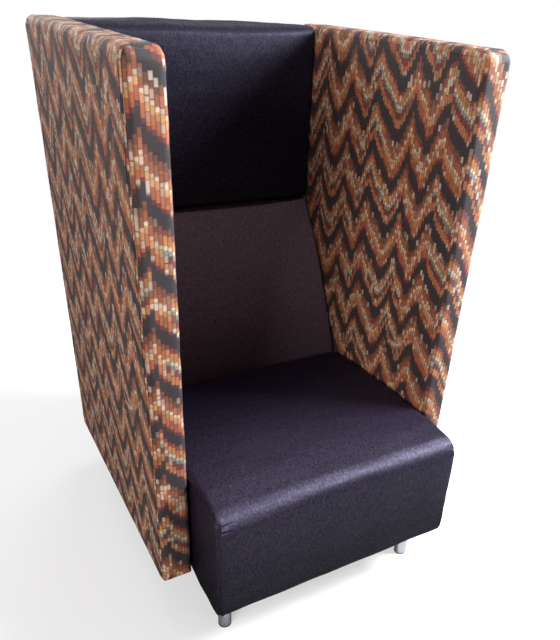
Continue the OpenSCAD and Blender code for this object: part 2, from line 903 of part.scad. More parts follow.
// Foam of the upper back cushion, in front of the board and over the top of the posts
module upper_back_foam() {
    color(foam_cream)
        difference() {
            upper_form(foam_in);
            box_between(
                [-gap_w / 2, upper_board_y - fit_gap, split_z],
                [gap_w / 2, rear_y, post_top_z + fit_gap]
            );
        }
}

// Plywood board behind the upper cushion's foam
module upper_back_board() {
    color(plywood)
        box_between(
            [-base_half_w, upper_board_y, split_z + foam_in],
            [base_half_w, post_front_y, post_top_z]
        );
}

// The two posts of the back
module back_posts() {
    color(timber)
        difference() {
            for (x = [-base_half_w, post_inner_x])
                box_between([x, post_front_y, frame_z], [x + post_w, post_rear_y, post_top_z]);
            chair_bolt_holes(bolt_hole_r, rear_bolt_places, post_inner_x - cut_over, gap_w / 2);
        }
}

// The rails between the posts: at the base, at the deck, behind the step and at the top
module back_rails() {
    color(timber)
        for (z = [frame_z, rail_top_z - post_w, split_z - post_w / 2, post_top_z - post_w])
            box_between([-post_inner_x, post_front_y, z], [post_inner_x, post_rear_y, z + post_w]);
}

// Hardboard sheet behind the posts
module rear_board() {
    color(hardboard)
        box_between(
            [-base_half_w, post_rear_y, frame_z],
            [base_half_w, post_rear_y + rear_board_t, post_top_z]
        );
}

// Padding between the hardboard and the rear fabric
module rear_padding() {
    color(foam_cream)
        box_between(
            [foam_in - cushion_half_w, post_rear_y + rear_board_t, frame_z],
            [cushion_half_w - foam_in, back_form_rear_y, top_z - rear_hem_h - fit_gap]
        );
}

// Fabric panel over the whole rear of the back
module rear_cover() {
    color(navy)
        box_between(
            [-cushion_half_w, rear_y - cover_t, under_z],
            [cushion_half_w, rear_y, top_z - rear_hem_h / 2 - back_top_crown]
        );
}

// A leg: a tube with a plug in its top that carries the stud
module leg(side, end) {
    y = end < 0 ? front_leg_y : rear_leg_y;
    color(bright_steel)
        translate([side * leg_x, y, 0])
            union() {
                difference() {
                    translate([0, 0, glide_foot_h])
                        cylinder(r = leg_d / 2, h = under_z - glide_foot_h);
                    translate([0, 0, glide_foot_h - cut_over])
                        cylinder(r = leg_d / 2 - leg_wall, h = under_z - leg_plug_t - glide_foot_h + cut_over);
                }
                translate([0, 0, under_z - leg_plug_t])
                    cylinder(r = stud_d / 2, h = leg_plug_t + stud_h);
            }
}

// Plastic glide pressed into the foot of a leg
module glide(side, end) {
    y = end < 0 ? front_leg_y : rear_leg_y;
    color(glide_grey)
        translate([side * leg_x, y, 0])
            union() {
                cylinder(r = leg_d / 2, h = glide_foot_h);
                cylinder(r = leg_d / 2 - leg_wall - running_gap, h = glide_foot_h + glide_plug_h);
            }
}

// Threaded inserts for the legs' studs, in the corner blocks
module leg_inserts() {
    color(zinc)
        for (side = [left, right], y = [front_leg_y, rear_leg_y])
            translate([side * leg_x, y, frame_z])
                difference() {
                    cylinder(r = insert_d / 2, h = insert_h);
                    translate([0, 0, -cut_over])
                        cylinder(r = stud_d / 2 + running_gap, h = insert_h + 2 * cut_over);
                }
}

// Threaded inserts for the wing bolts, in the wings' stiles
module wing_inserts() {
    color(zinc)
        for (side = [left, right], p = concat(rear_bolt_places, front_bolt_places))
            mirror([side < 0 ? 1 : 0, 0, 0])
                translate([gap_w / 2 + wing_core_u, p[0], p[1]])
                    rotate([0, 90, 0])
                        difference() {
                            cylinder(r = insert_d / 2, h = insert_h);
                            translate([0, 0, -cut_over])
                                cylinder(r = bolt_d / 2 + running_gap, h = insert_h + 2 * cut_over);
                        }
}

// Hexagon bolts from an inner face of the chair into the wings' inserts
module wing_bolts(places, seat_x) {
    head_r = bolt_head_w / 2 / cos(180 / bolt_head_sides);
    color(zinc)
        for (side = [left, right], p = places)
            mirror([side < 0 ? 1 : 0, 0, 0])
                translate([seat_x - washer_t - bolt_head_h, p[0], p[1]])
                    rotate([0, 90, 0])
                        union() {
                            cylinder(r = head_r, h = bolt_head_h, $fn = bolt_head_sides);
                            cylinder(r = bolt_d / 2, h = insert_end_x - seat_x + washer_t + bolt_head_h);
                        }
}

// Bolts through the posts
module rear_wing_bolts() {
    wing_bolts(rear_bolt_places, post_inner_x);
}

// Bolts through the side boards
module front_wing_bolts() {
    wing_bolts(front_bolt_places, side_inner_x);
}

// Washers under the heads at one inner face
module washers_at(places, seat_x) {
    for (side = [left, right], p = places)
        mirror([side < 0 ? 1 : 0, 0, 0])
            translate([seat_x - washer_t, p[0], p[1]])
                rotate([0, 90, 0])
                    difference() {
                        cylinder(r = washer_d / 2, h = washer_t);
                        translate([0, 0, -cut_over])
                            cylinder(r = bolt_d / 2 + running_gap, h = washer_t + 2 * cut_over);
                    }
}

// All the washers of the wing bolts
module wing_bolt_washers() {
    color(zinc) {
        washers_at(rear_bolt_places, post_inner_x);
        washers_at(front_bolt_places, side_inner_x);
    }
}

wing_cover(left);  // left_wing_cover
wing_front_band(left);  // left_wing_front_band
wing_rear_band(left);  // left_wing_rear_band
wing_base_cloth(left);  // left_wing_base_cloth
wing_outer_foam(left);  // left_wing_outer_foam
wing_inner_foam(left);  // left_wing_inner_foam
wing_edge_foam(left);  // left_wing_edge_foam
wing_outer_board(left);  // left_wing_outer_board
wing_inner_board(left);  // left_wing_inner_board
wing_stiles(left);  // left_wing_stiles
wing_rails(left);  // left_wing_rails
wing_infill(left);  // left_wing_infill
wing_cover(right);  // right_wing_cover
wing_front_band(right);  // right_wing_front_band
wing_rear_band(right);  // right_wing_rear_band
wing_base_cloth(right);  // right_wing_base_cloth
wing_outer_foam(right);  // right_wing_outer_foam
wing_inner_foam(right);  // right_wing_inner_foam
wing_edge_foam(right);  // right_wing_edge_foam
wing_outer_board(right);  // right_wing_outer_board
wing_inner_board(right);  // right_wing_inner_board
wing_stiles(right);  // right_wing_stiles
wing_rails(right);  // right_wing_rails
wing_infill(right);  // right_wing_infill
seat_cover();
seat_foam();
seat_wrap_foam();
seat_webbing_long();
seat_webbing_cross();
base_front_board();
base_side_boards();
base_deck_rail();
base_corner_blocks();
dust_cover();
lower_back_cover();
lower_back_foam();
lower_back_webbing();
back_ribs();
upper_back_cover();
upper_back_foam();
upper_back_board();
back_posts();
back_rails();
rear_board();
rear_padding();
rear_cover();
leg(left, front);  // front_left_leg
leg(right, front);  // front_right_leg
leg(left, rear);  // rear_left_leg
leg(right, rear);  // rear_right_leg
glide(left, front);  // front_left_glide
glide(right, front);  // front_right_glide
glide(left, rear);  // rear_left_glide
glide(right, rear);  // rear_right_glide
leg_inserts();
wing_inserts();
rear_wing_bolts();
front_wing_bolts();
wing_bolt_washers();
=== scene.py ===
import json
import math

import bmesh
import bpy
import numpy as np
from mathutils import Matrix, Vector


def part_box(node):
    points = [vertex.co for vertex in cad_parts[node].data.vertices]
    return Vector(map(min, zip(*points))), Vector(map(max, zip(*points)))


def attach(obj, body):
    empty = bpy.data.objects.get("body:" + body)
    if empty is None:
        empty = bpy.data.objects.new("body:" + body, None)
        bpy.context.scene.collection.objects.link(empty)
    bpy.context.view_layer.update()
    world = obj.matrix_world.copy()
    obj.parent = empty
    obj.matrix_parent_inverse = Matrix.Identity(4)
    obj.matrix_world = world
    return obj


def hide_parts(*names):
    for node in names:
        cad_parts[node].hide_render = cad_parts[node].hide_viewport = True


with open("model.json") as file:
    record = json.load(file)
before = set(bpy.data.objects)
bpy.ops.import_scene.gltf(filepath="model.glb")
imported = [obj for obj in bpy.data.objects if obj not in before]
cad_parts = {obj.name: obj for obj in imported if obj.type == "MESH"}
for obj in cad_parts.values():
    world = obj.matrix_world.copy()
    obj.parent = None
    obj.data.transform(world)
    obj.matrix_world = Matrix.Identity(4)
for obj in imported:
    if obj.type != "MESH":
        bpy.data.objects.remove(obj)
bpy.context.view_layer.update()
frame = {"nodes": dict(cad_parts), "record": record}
scene = bpy.context.scene
mm = 0.001

# Sizes of the soft forms that the frame's boxes don't tell
WING_EDGE_R = 17 * mm
WING_CORNER_R = 26 * mm
WING_BASE_R = 6 * mm
WING_SEAM_SETBACK = 12 * mm
WING_SEAM_DEPTH = 1.7 * mm
WING_SEAM_W = 2.4 * mm
WING_FOOT_LIFT = 4 * mm
SEAT_TOP_H = 314 * mm
SEAT_REAR_DROP = 28 * mm
SEAT_LONG_CROWN = 14 * mm
SEAT_CROSS_CROWN = 5 * mm
SEAT_FRONT_R = 42 * mm
SEAT_BASE_R = 8 * mm
SEAT_REAR_R = 12 * mm
SEAT_EDGE_R = 16 * mm
SEAT_FREE_BULGE = 3.5 * mm
SEAT_FRONT_EASE = 5 * mm
SEAT_HEM_LIFT = 7 * mm
SEAT_SEAM_DEPTH = 3.4 * mm
SEAT_SEAM_W = 3 * mm
PLEAT_DEPTH = 4.2 * mm
PLEAT_W = 2.5 * mm
CREASE_H = 274 * mm
LOWER_TOP_STEP = 7 * mm
LOWER_BULGE = 19 * mm
LOWER_TOP_R = 10 * mm
BACK_EDGE_R = 14 * mm
BACK_CROSS_CROWN = 7 * mm
BACK_TOP_CROWN = 1 * mm
UPPER_TOP_R = 24 * mm
UPPER_BASE_R = 11 * mm
REAR_EDGE_R = 7 * mm
HEM_W = 30 * mm
HEM_T = 3 * mm
WOOL_PITCH = 0.9 * mm
PRINT_PITCH = 0.8 * mm

# Height and length of the broad and of the fine waves in each cushion's padding
SEAT_WAVES = (0.9 * mm, 160 * mm), (0.35 * mm, 45 * mm)
LOWER_WAVES = (1.1 * mm, 200 * mm), (0.35 * mm, 50 * mm)
UPPER_WAVES = (0.9 * mm, 180 * mm), (0.3 * mm, 50 * mm)

# Pleats under the seat's front corners: distance below the corner, length and rise, in mm
PLEATS = (4, 52, 10), (15, 46, 6), (27, 38, 1), (40, 28, -5)
RIGHT_PLEATS_SHARE = 0.1

# Place in the print at which the front and the rear band of the left (-1) and right (1) wing start
BAND_STARTS = {-1: (0.37, 0.59), 1: (0.83, 0.11)}

# Angles round a wing's edge, closer together where the seam runs
EDGE_ANGLES = 0, 6, 11, 15, 19, 24, 31, 40, 50, 60, 70, 80, 90

# A cushion starts this much smaller than its place and is then filled
START_INSET = 3 * mm
UPPER_START_INSET = 2 * mm

# Steps of each mesh up its front and along its top
SEAT_STEPS = 26, 60
LOWER_STEPS = 50, 34
UPPER_STEPS = 54, 24
REAR_STEPS = 100, 14
WING_STEPS = 150, 96

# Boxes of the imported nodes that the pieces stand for
seat_low, seat_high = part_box("seat_cover")
lower_low, lower_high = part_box("lower_back_cover")
upper_low, upper_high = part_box("upper_back_cover")
rear_low, rear_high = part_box("rear_cover")
wing_low, wing_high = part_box("right_wing_cover")
band_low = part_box("right_wing_front_band")[0]
tail_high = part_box("right_wing_rear_band")[1]
lining_low, lining_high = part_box("dust_cover")

HALF_W = seat_high.x
WING_T = wing_high.x - wing_low.x
CREASE_Z = seat_low.z + CREASE_H
LOWER_TOP_Z = lower_high.z
LOWER_TOP_Y = upper_low.y - LOWER_TOP_STEP


# Camera and studio

CAMERA_PLACE = (-0.7538, -1.4537, 1.4542)
CAMERA_PITCH = 31.714
CAMERA_ROLL = 3.566
CAMERA_YAW = 31.506
CAMERA_LENS = 36.514
CAMERA_SHIFT = (-0.0312, 0.1092)

# Light of the room on the chair, and how much the floor lights it
ROOM_LIGHT = 0.045
FLOOR_BOUNCE = 0.25

# Half the floor's width, the share of white glow that the camera sees in it near the chair, and the
# distances at which that grows to 1
FLOOR_HALF = 150
FLOOR_FADE = 0.5
FADE_FROM, FADE_TO = 0.9, 3.2


def make_camera():
    pitch, roll, yaw = (math.radians(a) for a in (CAMERA_PITCH, CAMERA_ROLL, CAMERA_YAW))
    turn = Matrix.Rotation(roll, 3, "Y") @ Matrix.Rotation(pitch, 3, "X") @ Matrix.Rotation(yaw, 3, "Z")
    right, forward, up = turn
    facing = Matrix((right, up, -forward)).transposed().to_quaternion()
    data = bpy.data.cameras.new("camera")
    data.lens = CAMERA_LENS
    data.shift_x, data.shift_y = CAMERA_SHIFT
    data.clip_end = 400
    camera = bpy.data.objects.new("camera", data)
    camera.matrix_world = Matrix.LocRotScale(Vector(CAMERA_PLACE), facing, None)
    scene.collection.objects.link(camera)
    scene.camera = camera


def area_light(name, place, target, size, power, colour):
    data = bpy.data.lights.new(name, "AREA")
    data.shape = "RECTANGLE"
    data.size, data.size_y = size
    data.energy = power
    data.color = colour
    light = bpy.data.objects.new(name, data)
    light.location = place
    light.rotation_mode = "QUATERNION"
    light.rotation_quaternion = (Vector(target) - Vector(place)).to_track_quat("-Z", "Y")
    scene.collection.objects.link(light)


def around(azimuth, elevation, distance, height):
    """A place round the chair: azimuth 0 is in front and 90 on the right."""
    a, e = math.radians(azimuth), math.radians(elevation)
    level = distance * math.cos(e)
    return (level * math.sin(a), -level * math.cos(a), height + distance * math.sin(e))


def mixed(tree, share, first, second):
    mix = tree.nodes.new("ShaderNodeMixShader")
    for source, socket in zip((share, first, second), mix.inputs):
        tree.links.new(source, socket)
    return mix.outputs[0]


def camera_only(tree, dim, bright):
    """Mixes two shader outputs: the first lights the chair and the second is what the camera sees."""
    return mixed(tree, tree.nodes.new("ShaderNodeLightPath").outputs["Is Camera Ray"], dim, bright)


def make_world():
    """Dim surroundings for the chair, which the camera sees as white."""
    world = bpy.data.worlds.new("studio")
    world.use_nodes = True
    tree = world.node_tree
    dim = tree.nodes["Background"]
    dim.inputs["Color"].default_value = (0.93, 0.96, 1.0, 1)
    dim.inputs["Strength"].default_value = ROOM_LIGHT
    white = tree.nodes.new("ShaderNodeBackground")
    white.inputs["Color"].default_value = (1, 1, 1, 1)
    both = camera_only(tree, dim.outputs[0], white.outputs[0])
    tree.links.new(both, tree.nodes["World Output"].inputs["Surface"])
    scene.world = world


def make_floor():
    """A wide pale floor with a white glow that the camera sees, which pales the chair's shadow near it and
    turns to plain white away from the chair.
    """
    mesh = bpy.data.meshes.new("floor")
    corners = [(a * FLOOR_HALF, b * FLOOR_HALF, 0) for a, b in ((-1, -1), (1, -1), (1, 1), (-1, 1))]
    mesh.from_pydata(corners, [], [(0, 1, 2, 3)])
    paint = Paint("pale_floor")
    places = paint.places()
    tone = paint.blend(paint.noise(places, 0.7, 2), (0.80, 0.80, 0.805), (0.84, 0.84, 0.845))
    paint.set(base_color=tone, roughness=0.9, specular=0.1)
    x, y, _ = paint.split(places)
    far = (x * x + y * y).math("SQRT").between(FADE_FROM, FADE_TO) * (1 - FLOOR_FADE) + FLOOR_FADE
    # Painted light: the camera sees a white glow mixed into the floor, half of it near the chair, which
    # pales the chair's shadow there
    white = paint.node("ShaderNodeEmission")
    white.inputs["Color"].default_value = (1, 1, 1, 1)
    near = mixed(paint.tree, far.socket, paint.shader.outputs[0], white.outputs[0])
    dim = paint.node("ShaderNodeBsdfDiffuse")
    dim.inputs["Color"].default_value = (FLOOR_BOUNCE, FLOOR_BOUNCE, FLOOR_BOUNCE, 1)
    both = camera_only(paint.tree, dim.outputs[0], near)
    paint.tree.links.new(both, paint.tree.nodes["Material Output"].inputs["Surface"])
    mesh.materials.append(paint.material)
    add_piece("floor", mesh)


def make_studio():
    make_world()
    make_floor()
    area_light("window", (2.5, -1.2, 2.5), (0, 0, 0.7), (1.35, 1.1), 465, (0.87, 0.93, 1.0))
    area_light("rear_high", (0.95, 1.65, 3.5), (0, -0.3, 0.5), (1.6, 1.4), 40, (0.95, 0.96, 1.0))
    area_light("rear_fill", around(195, 18, 4.4, 0.9), (0, 0, 0.8), (2.0, 1.8), 110, (0.98, 0.98, 1.0))
    area_light("left_front", around(-54, 14, 4.2, 0.9), (0, 0, 0.9), (1.6, 1.4), 152, (1.0, 0.96, 0.93))
    area_light("ceiling", (0, 0.05, 4.2), (0, 0, 0.5), (2.0, 2.0), 30, (0.98, 0.98, 1.0))
    scene.view_settings.view_transform = "Standard"


# Materials: a short way to write node trees


class Value:
    """An output of a node. Sums and products with it are made by further nodes."""

    def __init__(self, paint, socket):
        self.paint = paint
        self.socket = socket

    def math(self, operation, *others):
        return self.paint.made("ShaderNodeMath", (self, *others), operation=operation)

    def __add__(self, other):
        return self.math("ADD", other)

    def __sub__(self, other):
        return self.math("SUBTRACT", other)

    def __rsub__(self, other):
        return self * -1 + other

    def __mul__(self, other):
        return self.math("MULTIPLY", other)

    def __truediv__(self, other):
        return self.math("DIVIDE", other)

    def __abs__(self):
        return self.math("ABSOLUTE")

    def between(self, low, high, smooth=True):
        """0 below low, 1 above high."""
        kind = "SMOOTHSTEP" if smooth else "LINEAR"
        limits = (self, low, high, 0.0, 1.0)
        return self.paint.made("ShaderNodeMapRange", limits, interpolation_type=kind)

    def zigzag(self, length):
        """Rises from 0 to 1 and falls again over one length."""
        return self.math("PINGPONG", length / 2) * (2 / length)


class Paint:
    """One material. What its sockets take is a number, a colour or a Value."""

    SHORT_NAMES = {"specular": "Specular IOR Level", "sheen": "Sheen Weight"}

    def __init__(self, name):
        self.material = bpy.data.materials.new(name)
        self.material.use_nodes = True
        self.tree = self.material.node_tree
        self.shader = self.tree.nodes["Principled BSDF"]

    def node(self, kind, **settings):
        made = self.tree.nodes.new(kind)
        for key, value in settings.items():
            setattr(made, key, value)
        return made

    def put(self, value, socket):
        if isinstance(value, Value):
            self.tree.links.new(value.socket, socket)
        elif isinstance(value, tuple) and socket.type == "RGBA":
            socket.default_value = (*value, 1)
        else:
            socket.default_value = value

    def set(self, **values):
        """Sets the surface's sockets. roughness stands for Roughness and base_color for Base Color."""
        for key, value in values.items():
            name = self.SHORT_NAMES.get(key, key.replace("_", " ").title())
            self.put(value, self.shader.inputs[name])

    def finish(self, hue, roughness, height, depth, strength, **values):
        """Gives the surface its colour, roughness, relief and other values, and returns the material."""
        bump = self.node("ShaderNodeBump")
        for name, value in (("Height", height), ("Distance", depth), ("Strength", strength)):
            self.put(value, bump.inputs[name])
        relief = Value(self, bump.outputs[0])
        self.set(base_color=hue, roughness=roughness, normal=relief, **values)
        return self.material

    def made(self, kind, values, output=0, **settings):
        """One output of a new node with values in its first inputs."""
        made = self.node(kind, **settings)
        for value, socket in zip(values, made.inputs):
            self.put(value, socket)
        return Value(self, made.outputs[output])

    def places(self):
        return self.made("ShaderNodeTexCoord", (), "Object")

    def cloth(self):
        return self.made("ShaderNodeUVMap", (), uv_map="cloth")

    def scaled(self, vector, scale):
        return self.made("ShaderNodeVectorMath", (vector, scale), operation="MULTIPLY")

    def split(self, vector):
        made = self.node("ShaderNodeSeparateXYZ")
        self.put(vector, made.inputs[0])
        return [Value(self, socket) for socket in made.outputs]

    def angles(self, vector, pitch):
        """The three coordinates as angles, half a turn to a pitch."""
        return self.split(self.scaled(vector, (math.pi / pitch,) * 3))

    def join(self, *values):
        return self.made("ShaderNodeCombineXYZ", values)

    def noise(self, vector, scale, detail=3, roughness=0.55):
        made = self.node("ShaderNodeTexNoise")
        self.put(vector, made.inputs["Vector"])
        for name, value in (("Scale", scale), ("Detail", detail), ("Roughness", roughness)):
            self.put(value, made.inputs[name])
        return Value(self, made.outputs["Fac"])

    def streaks(self, vector, scale, detail=3, roughness=0.55):
        """Noise with a scale of its own along each axis."""
        return self.noise(self.scaled(vector, scale), 1, detail, roughness)

    def random(self, vector):
        return self.made("ShaderNodeTexWhiteNoise", (vector,), noise_dimensions="3D")

    def near_floor(self, height):
        """1 on the floor, 0 from a height upward."""
        return 1 - self.split(self.places())[2].between(0.0, height)

    def blend(self, share, a, b):
        made = self.node("ShaderNodeMix", data_type="RGBA")
        self.put(share, made.inputs[0])
        self.put(a, made.inputs[6])
        self.put(b, made.inputs[7])
        return Value(self, made.outputs[2])

    def steps(self, value, stops):
        """Colours that change without a passage, each from its place on."""
        made = self.node("ShaderNodeValToRGB")
        made.color_ramp.interpolation = "CONSTANT"
        elements = made.color_ramp.elements
        elements.remove(elements[1])
        elements[0].position = stops[0][0]
        elements[0].color = (*stops[0][1], 1)
        for place, colour in stops[1:]:
            elements.new(place).color = (*colour, 1)
        self.put(value, made.inputs[0])
        return Value(self, made.outputs[0])


def weave_height(paint, cloth, pitch):
    """Plain weave: two sets of threads that pass over each other in turn."""
    across, upward, _ = (angle.math("SINE") for angle in paint.angles(cloth, pitch))
    over = (across * upward).between(-0.3, 0.3)
    return abs(across) * over + abs(upward) * (1 - over)


def wool(name, low, high, fibre, shine, painted_shade_heights, painted_gleam_span=None):
    """Dark wool: lighter fibres that run along the cloth, over a fine weave.

    Painted shade: below the first height the colour is darkened and the shine lowered, and above the second
    height neither is.
    The last argument gives two places in Y; from the first to the second the shine rises, painted shade at
    the first and a painted highlight at the second.
    """
    paint = Paint(name)
    cloth = paint.cloth()
    _, y, z = paint.split(paint.places())
    clear_of_painted_shade = z.between(*painted_shade_heights)
    fibres = paint.streaks(cloth, (1250, 420, 1), 3, 0.65)
    slubs = paint.streaks(cloth, (330, 60, 1), 3, 0.6)
    grain = paint.streaks(cloth, (250, 140, 1), 2, 0.6)
    nap = paint.streaks(cloth, (75, 40, 1), 3, 0.6)
    light = (fibres * 0.5 + slubs * 0.3 + grain * 0.2).between(0.42, 0.62, smooth=False)
    hue = paint.blend(light, paint.blend(paint.noise(cloth, 9, 3, 0.5), low, high), fibre)
    # Painted shade: low down the colour goes most of the way to a fifth of the dark ground
    hue = paint.blend(clear_of_painted_shade, paint.blend(0.75, hue, tuple(0.2 * c for c in low)), hue)
    # The fibres lie along the cloth, so it shines in a band across them
    gleam = nap.between(0.3, 0.7) * 0.25 + grain.between(0.36, 0.64, smooth=False) * 0.32 + 0.72
    # Painted shade also lowers the shine low down
    gleam = gleam * (light * 0.9 + 0.6) * (clear_of_painted_shade * 0.55 + 0.45) * shine
    # Painted highlight towards the second place in Y, painted shade towards the first
    if painted_gleam_span:
        gleam = gleam * (y.between(*painted_gleam_span, smooth=False) * 0.75 + 0.4)
    lie = paint.made("ShaderNodeTangent", (), direction_type="UV_MAP", uv_map="cloth")
    paint.set(specular=gleam, specular_tint=(0.78, 0.69, 1.0), anisotropic=0.6, tangent=lie)
    height = fibres * 0.8 + weave_height(paint, cloth, WOOL_PITCH) * 0.2
    return paint.finish(hue, light * -0.10 + 0.64, height, 0.4 * mm, 0.8)


# Ground of the navy wool, darker and lighter, and its fibres
NAVY = (0.0014, 0.0007, 0.0025), (0.0027, 0.0015, 0.0042), (0.016, 0.011, 0.023)
# A darker copy of the navy wool's colours: painted shade for the upper back
NAVY_PAINTED_SHADE = (0.0010, 0.0006, 0.0018), (0.0020, 0.0013, 0.0034), (0.011, 0.009, 0.017)
# A lighter, browner copy: painted light for the lower back
NAVY_PAINTED_LIGHT = (0.0440, 0.0290, 0.0380), (0.0610, 0.0405, 0.0530), (0.178, 0.124, 0.155)


def seat_wool():
    # Painted shade that darkens the seat's front and sides towards its foot
    painted_shade_heights = seat_low.z - 10 * mm, seat_low.z + 270 * mm
    # Painted highlight towards the seat's front edge, painted shade towards its rear
    painted_gleam_span = seat_high.y - 150 * mm, seat_low.y + 30 * mm
    return wool("navy_wool", *NAVY, 0.46, painted_shade_heights, painted_gleam_span)


def rear_wool():
    """The same wool over the rear, with less shine and without the seat's painted highlight; its heights lie
    below the panel, so no painted shade falls on it.
    """
    return wool("navy_wool_rear", *NAVY, 0.2, (rear_low.z - 20 * mm, rear_low.z - 10 * mm))


def upper_back_wool():
    """The same wool in darker colours, painted shade over the whole upper back."""
    return wool("navy_wool_painted_shade", *NAVY_PAINTED_SHADE, 0.23, (upper_low.z - 10 * mm, upper_low.z))


def lower_back_wool():
    """The same wool in lighter, browner colours, painted light on the lower back, with painted shade that
    darkens it towards the crease.
    """
    return wool("navy_wool_painted_light", *NAVY_PAINTED_LIGHT, 0.4, (lower_low.z + 20 * mm, LOWER_TOP_Z - 60 * mm))


# The flame stitch: width of a column, length of a repeat, and spacing and height of the flames
COLUMN_W = 8.5 * mm
REPEAT = 124 * mm
FLAME_W = 136 * mm
FLAME_H = 92 * mm
SMALL_FLAME_H = 20 * mm

# Its colours from the foot of a flame to its tip: place in the repeat and colour
CHARCOAL = (0.021, 0.019, 0.026)
SOOT = (0.030, 0.017, 0.016)
FLAME_WARM = [
    (0.00, CHARCOAL),
    (0.20, (0.150, 0.026, 0.024)),
    (0.27, (0.42, 0.115, 0.048)),
    (0.46, (0.58, 0.27, 0.110)),
    (0.58, (0.66, 0.50, 0.35)),
    (0.64, (0.38, 0.11, 0.046)),
    (0.80, (0.20, 0.060, 0.034)),
    (0.93, SOOT),
]
FLAME_COOL = [
    (0.00, CHARCOAL),
    (0.20, (0.040, 0.034, 0.032)),
    (0.26, (0.48, 0.17, 0.062)),
    (0.42, (0.190, 0.032, 0.030)),
    (0.56, (0.25, 0.25, 0.175)),
    (0.64, (0.64, 0.53, 0.40)),
    (0.70, (0.52, 0.21, 0.078)),
    (0.86, (0.24, 0.046, 0.034)),
    (0.95, SOOT),
]


def flame_print():
    """Flame stitch: narrow columns of colour that step up and down together into tall pointed flames."""
    paint = Paint("flame_print")
    cloth = paint.cloth()
    u, v, _ = paint.split(cloth)
    columns = u / COLUMN_W
    column = columns.math("FLOOR")
    middle = (column + 0.5) * COLUMN_W
    middle = middle + paint.noise(paint.join(middle, 0.0, 4.0), 7, 1) * (70 * mm)
    rise = middle.zigzag(FLAME_W).math("POWER", 1.4) * FLAME_H
    rise = rise + (middle + 14 * mm).zigzag(FLAME_W / 2) * SMALL_FLAME_H
    rise = rise + paint.random(paint.join(column, 2.0, 0.0)) * (6 * mm)
    rise = rise + paint.streaks(cloth, (1500, 130, 1), 2) * (5 * mm)
    rows = (v - rise) / REPEAT
    row = rows.math("FLOOR")
    place = rows.math("FRACT")
    swap = paint.noise(paint.join(middle, row, 1.7), 6.0, 1).between(0.49, 0.51)
    hue = paint.blend(swap, paint.steps(place, FLAME_WARM), paint.steps(place, FLAME_COOL))
    # Each stitch takes the dye a little differently
    dye = paint.random(paint.join(column, row, (place * 9.0).math("FLOOR")))
    hue = paint.blend(dye * 0.55, hue, (0.020, 0.008, 0.007))
    bright = dye.between(0.80, 0.98) * place.between(0.22, 0.3)
    hue = paint.blend(bright, hue, paint.blend(0.5, hue, (0.84, 0.70, 0.55)))
    # Columns are round, with a dark line between them
    ridge = columns.math("FRACT").math("PINGPONG", 0.5).between(0.02, 0.26)
    hue = paint.blend(ridge, paint.blend(0.55, hue, (0.022, 0.014, 0.013)), hue)
    speck = paint.streaks(cloth, (620, 300, 1), 3, 0.7).between(0.62, 0.40)
    hue = paint.blend(speck, hue, paint.blend(0.30, hue, (0.02, 0.012, 0.01)))
    thread = weave_height(paint, cloth, PRINT_PITCH)
    hue = paint.blend(thread * 0.02, hue, (0.62, 0.50, 0.42))
    roughness = paint.noise(cloth, 24, 3, 0.6) * 0.15 + 0.62
    paint.set(specular=0.30, sheen=0.03, sheen_roughness=0.4, sheen_tint=(1.0, 0.88, 0.88))
    return paint.finish(hue, roughness, ridge * 0.5 + thread, 0.3 * mm, 0.5)


def lining_cloth():
    """Black spun-bonded lining with its grid of pressed dots."""
    paint = Paint("black_lining")
    places = paint.places()
    x, y, _ = paint.angles(places, 1.6 * mm)
    dots = abs(x.math("SINE") * y.math("SINE"))
    fuzz = paint.noise(places, 900, 3, 0.7)
    hue = paint.blend(fuzz, (0.010, 0.010, 0.011), (0.026, 0.026, 0.028))
    paint.set(specular=0.2, sheen=0.2, sheen_roughness=0.5)
    return paint.finish(hue, fuzz * 0.2 + 0.7, fuzz * 0.3 + dots, 0.3 * mm, 0.5)


def felt_grey():
    paint = Paint("grey_felt")
    places = paint.places()
    hair = paint.noise(places, 700, 4, 0.75)
    flecks = paint.noise(places, 230, 2).between(0.6, 0.72)
    hue = paint.blend(hair, (0.16, 0.16, 0.155), (0.34, 0.335, 0.32))
    hue = paint.blend(flecks, hue, (0.05, 0.05, 0.055))
    return paint.finish(hue, hair * 0.1 + 0.85, hair, 0.8 * mm, 0.6, specular=0.1, sheen=0.4)


def webbing_black():
    """Elastic webbing with ribs along and across it."""
    paint = Paint("elastic_webbing")
    places = paint.places()
    x, y, _ = (abs(angle.math("SINE")) for angle in paint.angles(places, 2.2 * mm))
    ribs = x.math("MAXIMUM", y)
    fuzz = paint.noise(places, 500, 2)
    hue = paint.blend(ribs * fuzz, (0.012, 0.012, 0.012), (0.075, 0.07, 0.065))
    return paint.finish(hue, fuzz * 0.2 + 0.6, ribs, 0.4 * mm, 0.6, specular=0.25)


def softwood(name, stretch):
    """Softwood with its grain along one axis, given by the least of the stretch numbers."""
    paint = Paint(name)
    places = paint.scaled(paint.places(), stretch)
    wander = paint.noise(places, 0.35, 2) * 5.0 + paint.noise(places, 1.0, 2) * 1.4
    rings = (wander * 1.1).math("PINGPONG", 0.5)
    pores = paint.noise(places, 14, 2, 0.7)
    share = (rings * 1.3 + pores * 0.45).math("MINIMUM", 1.0)
    hue = paint.blend(share, (0.62, 0.43, 0.24), (0.40, 0.23, 0.10))
    return paint.finish(hue, pores * 0.2 + 0.5, share, 0.2 * mm, 0.35, specular=0.3)


def plywood():
    """Plywood: face grain on top and thin layers that show on every cut edge."""
    paint = Paint("birch_plywood")
    places = paint.places()
    grain = paint.streaks(places, (60, 8, 60), 3, 0.6)
    x, y, _ = paint.split(places)
    layers = ((x + y) / (3.2 * mm)).math("PINGPONG", 0.5).between(0.2, 0.3)
    share = (layers * 0.35 + grain * 0.5).math("MINIMUM", 1.0)
    hue = paint.blend(share, (0.62, 0.47, 0.29), (0.36, 0.22, 0.11))
    return paint.finish(hue, grain * 0.2 + 0.5, share, 0.15 * mm, 0.4, specular=0.3)


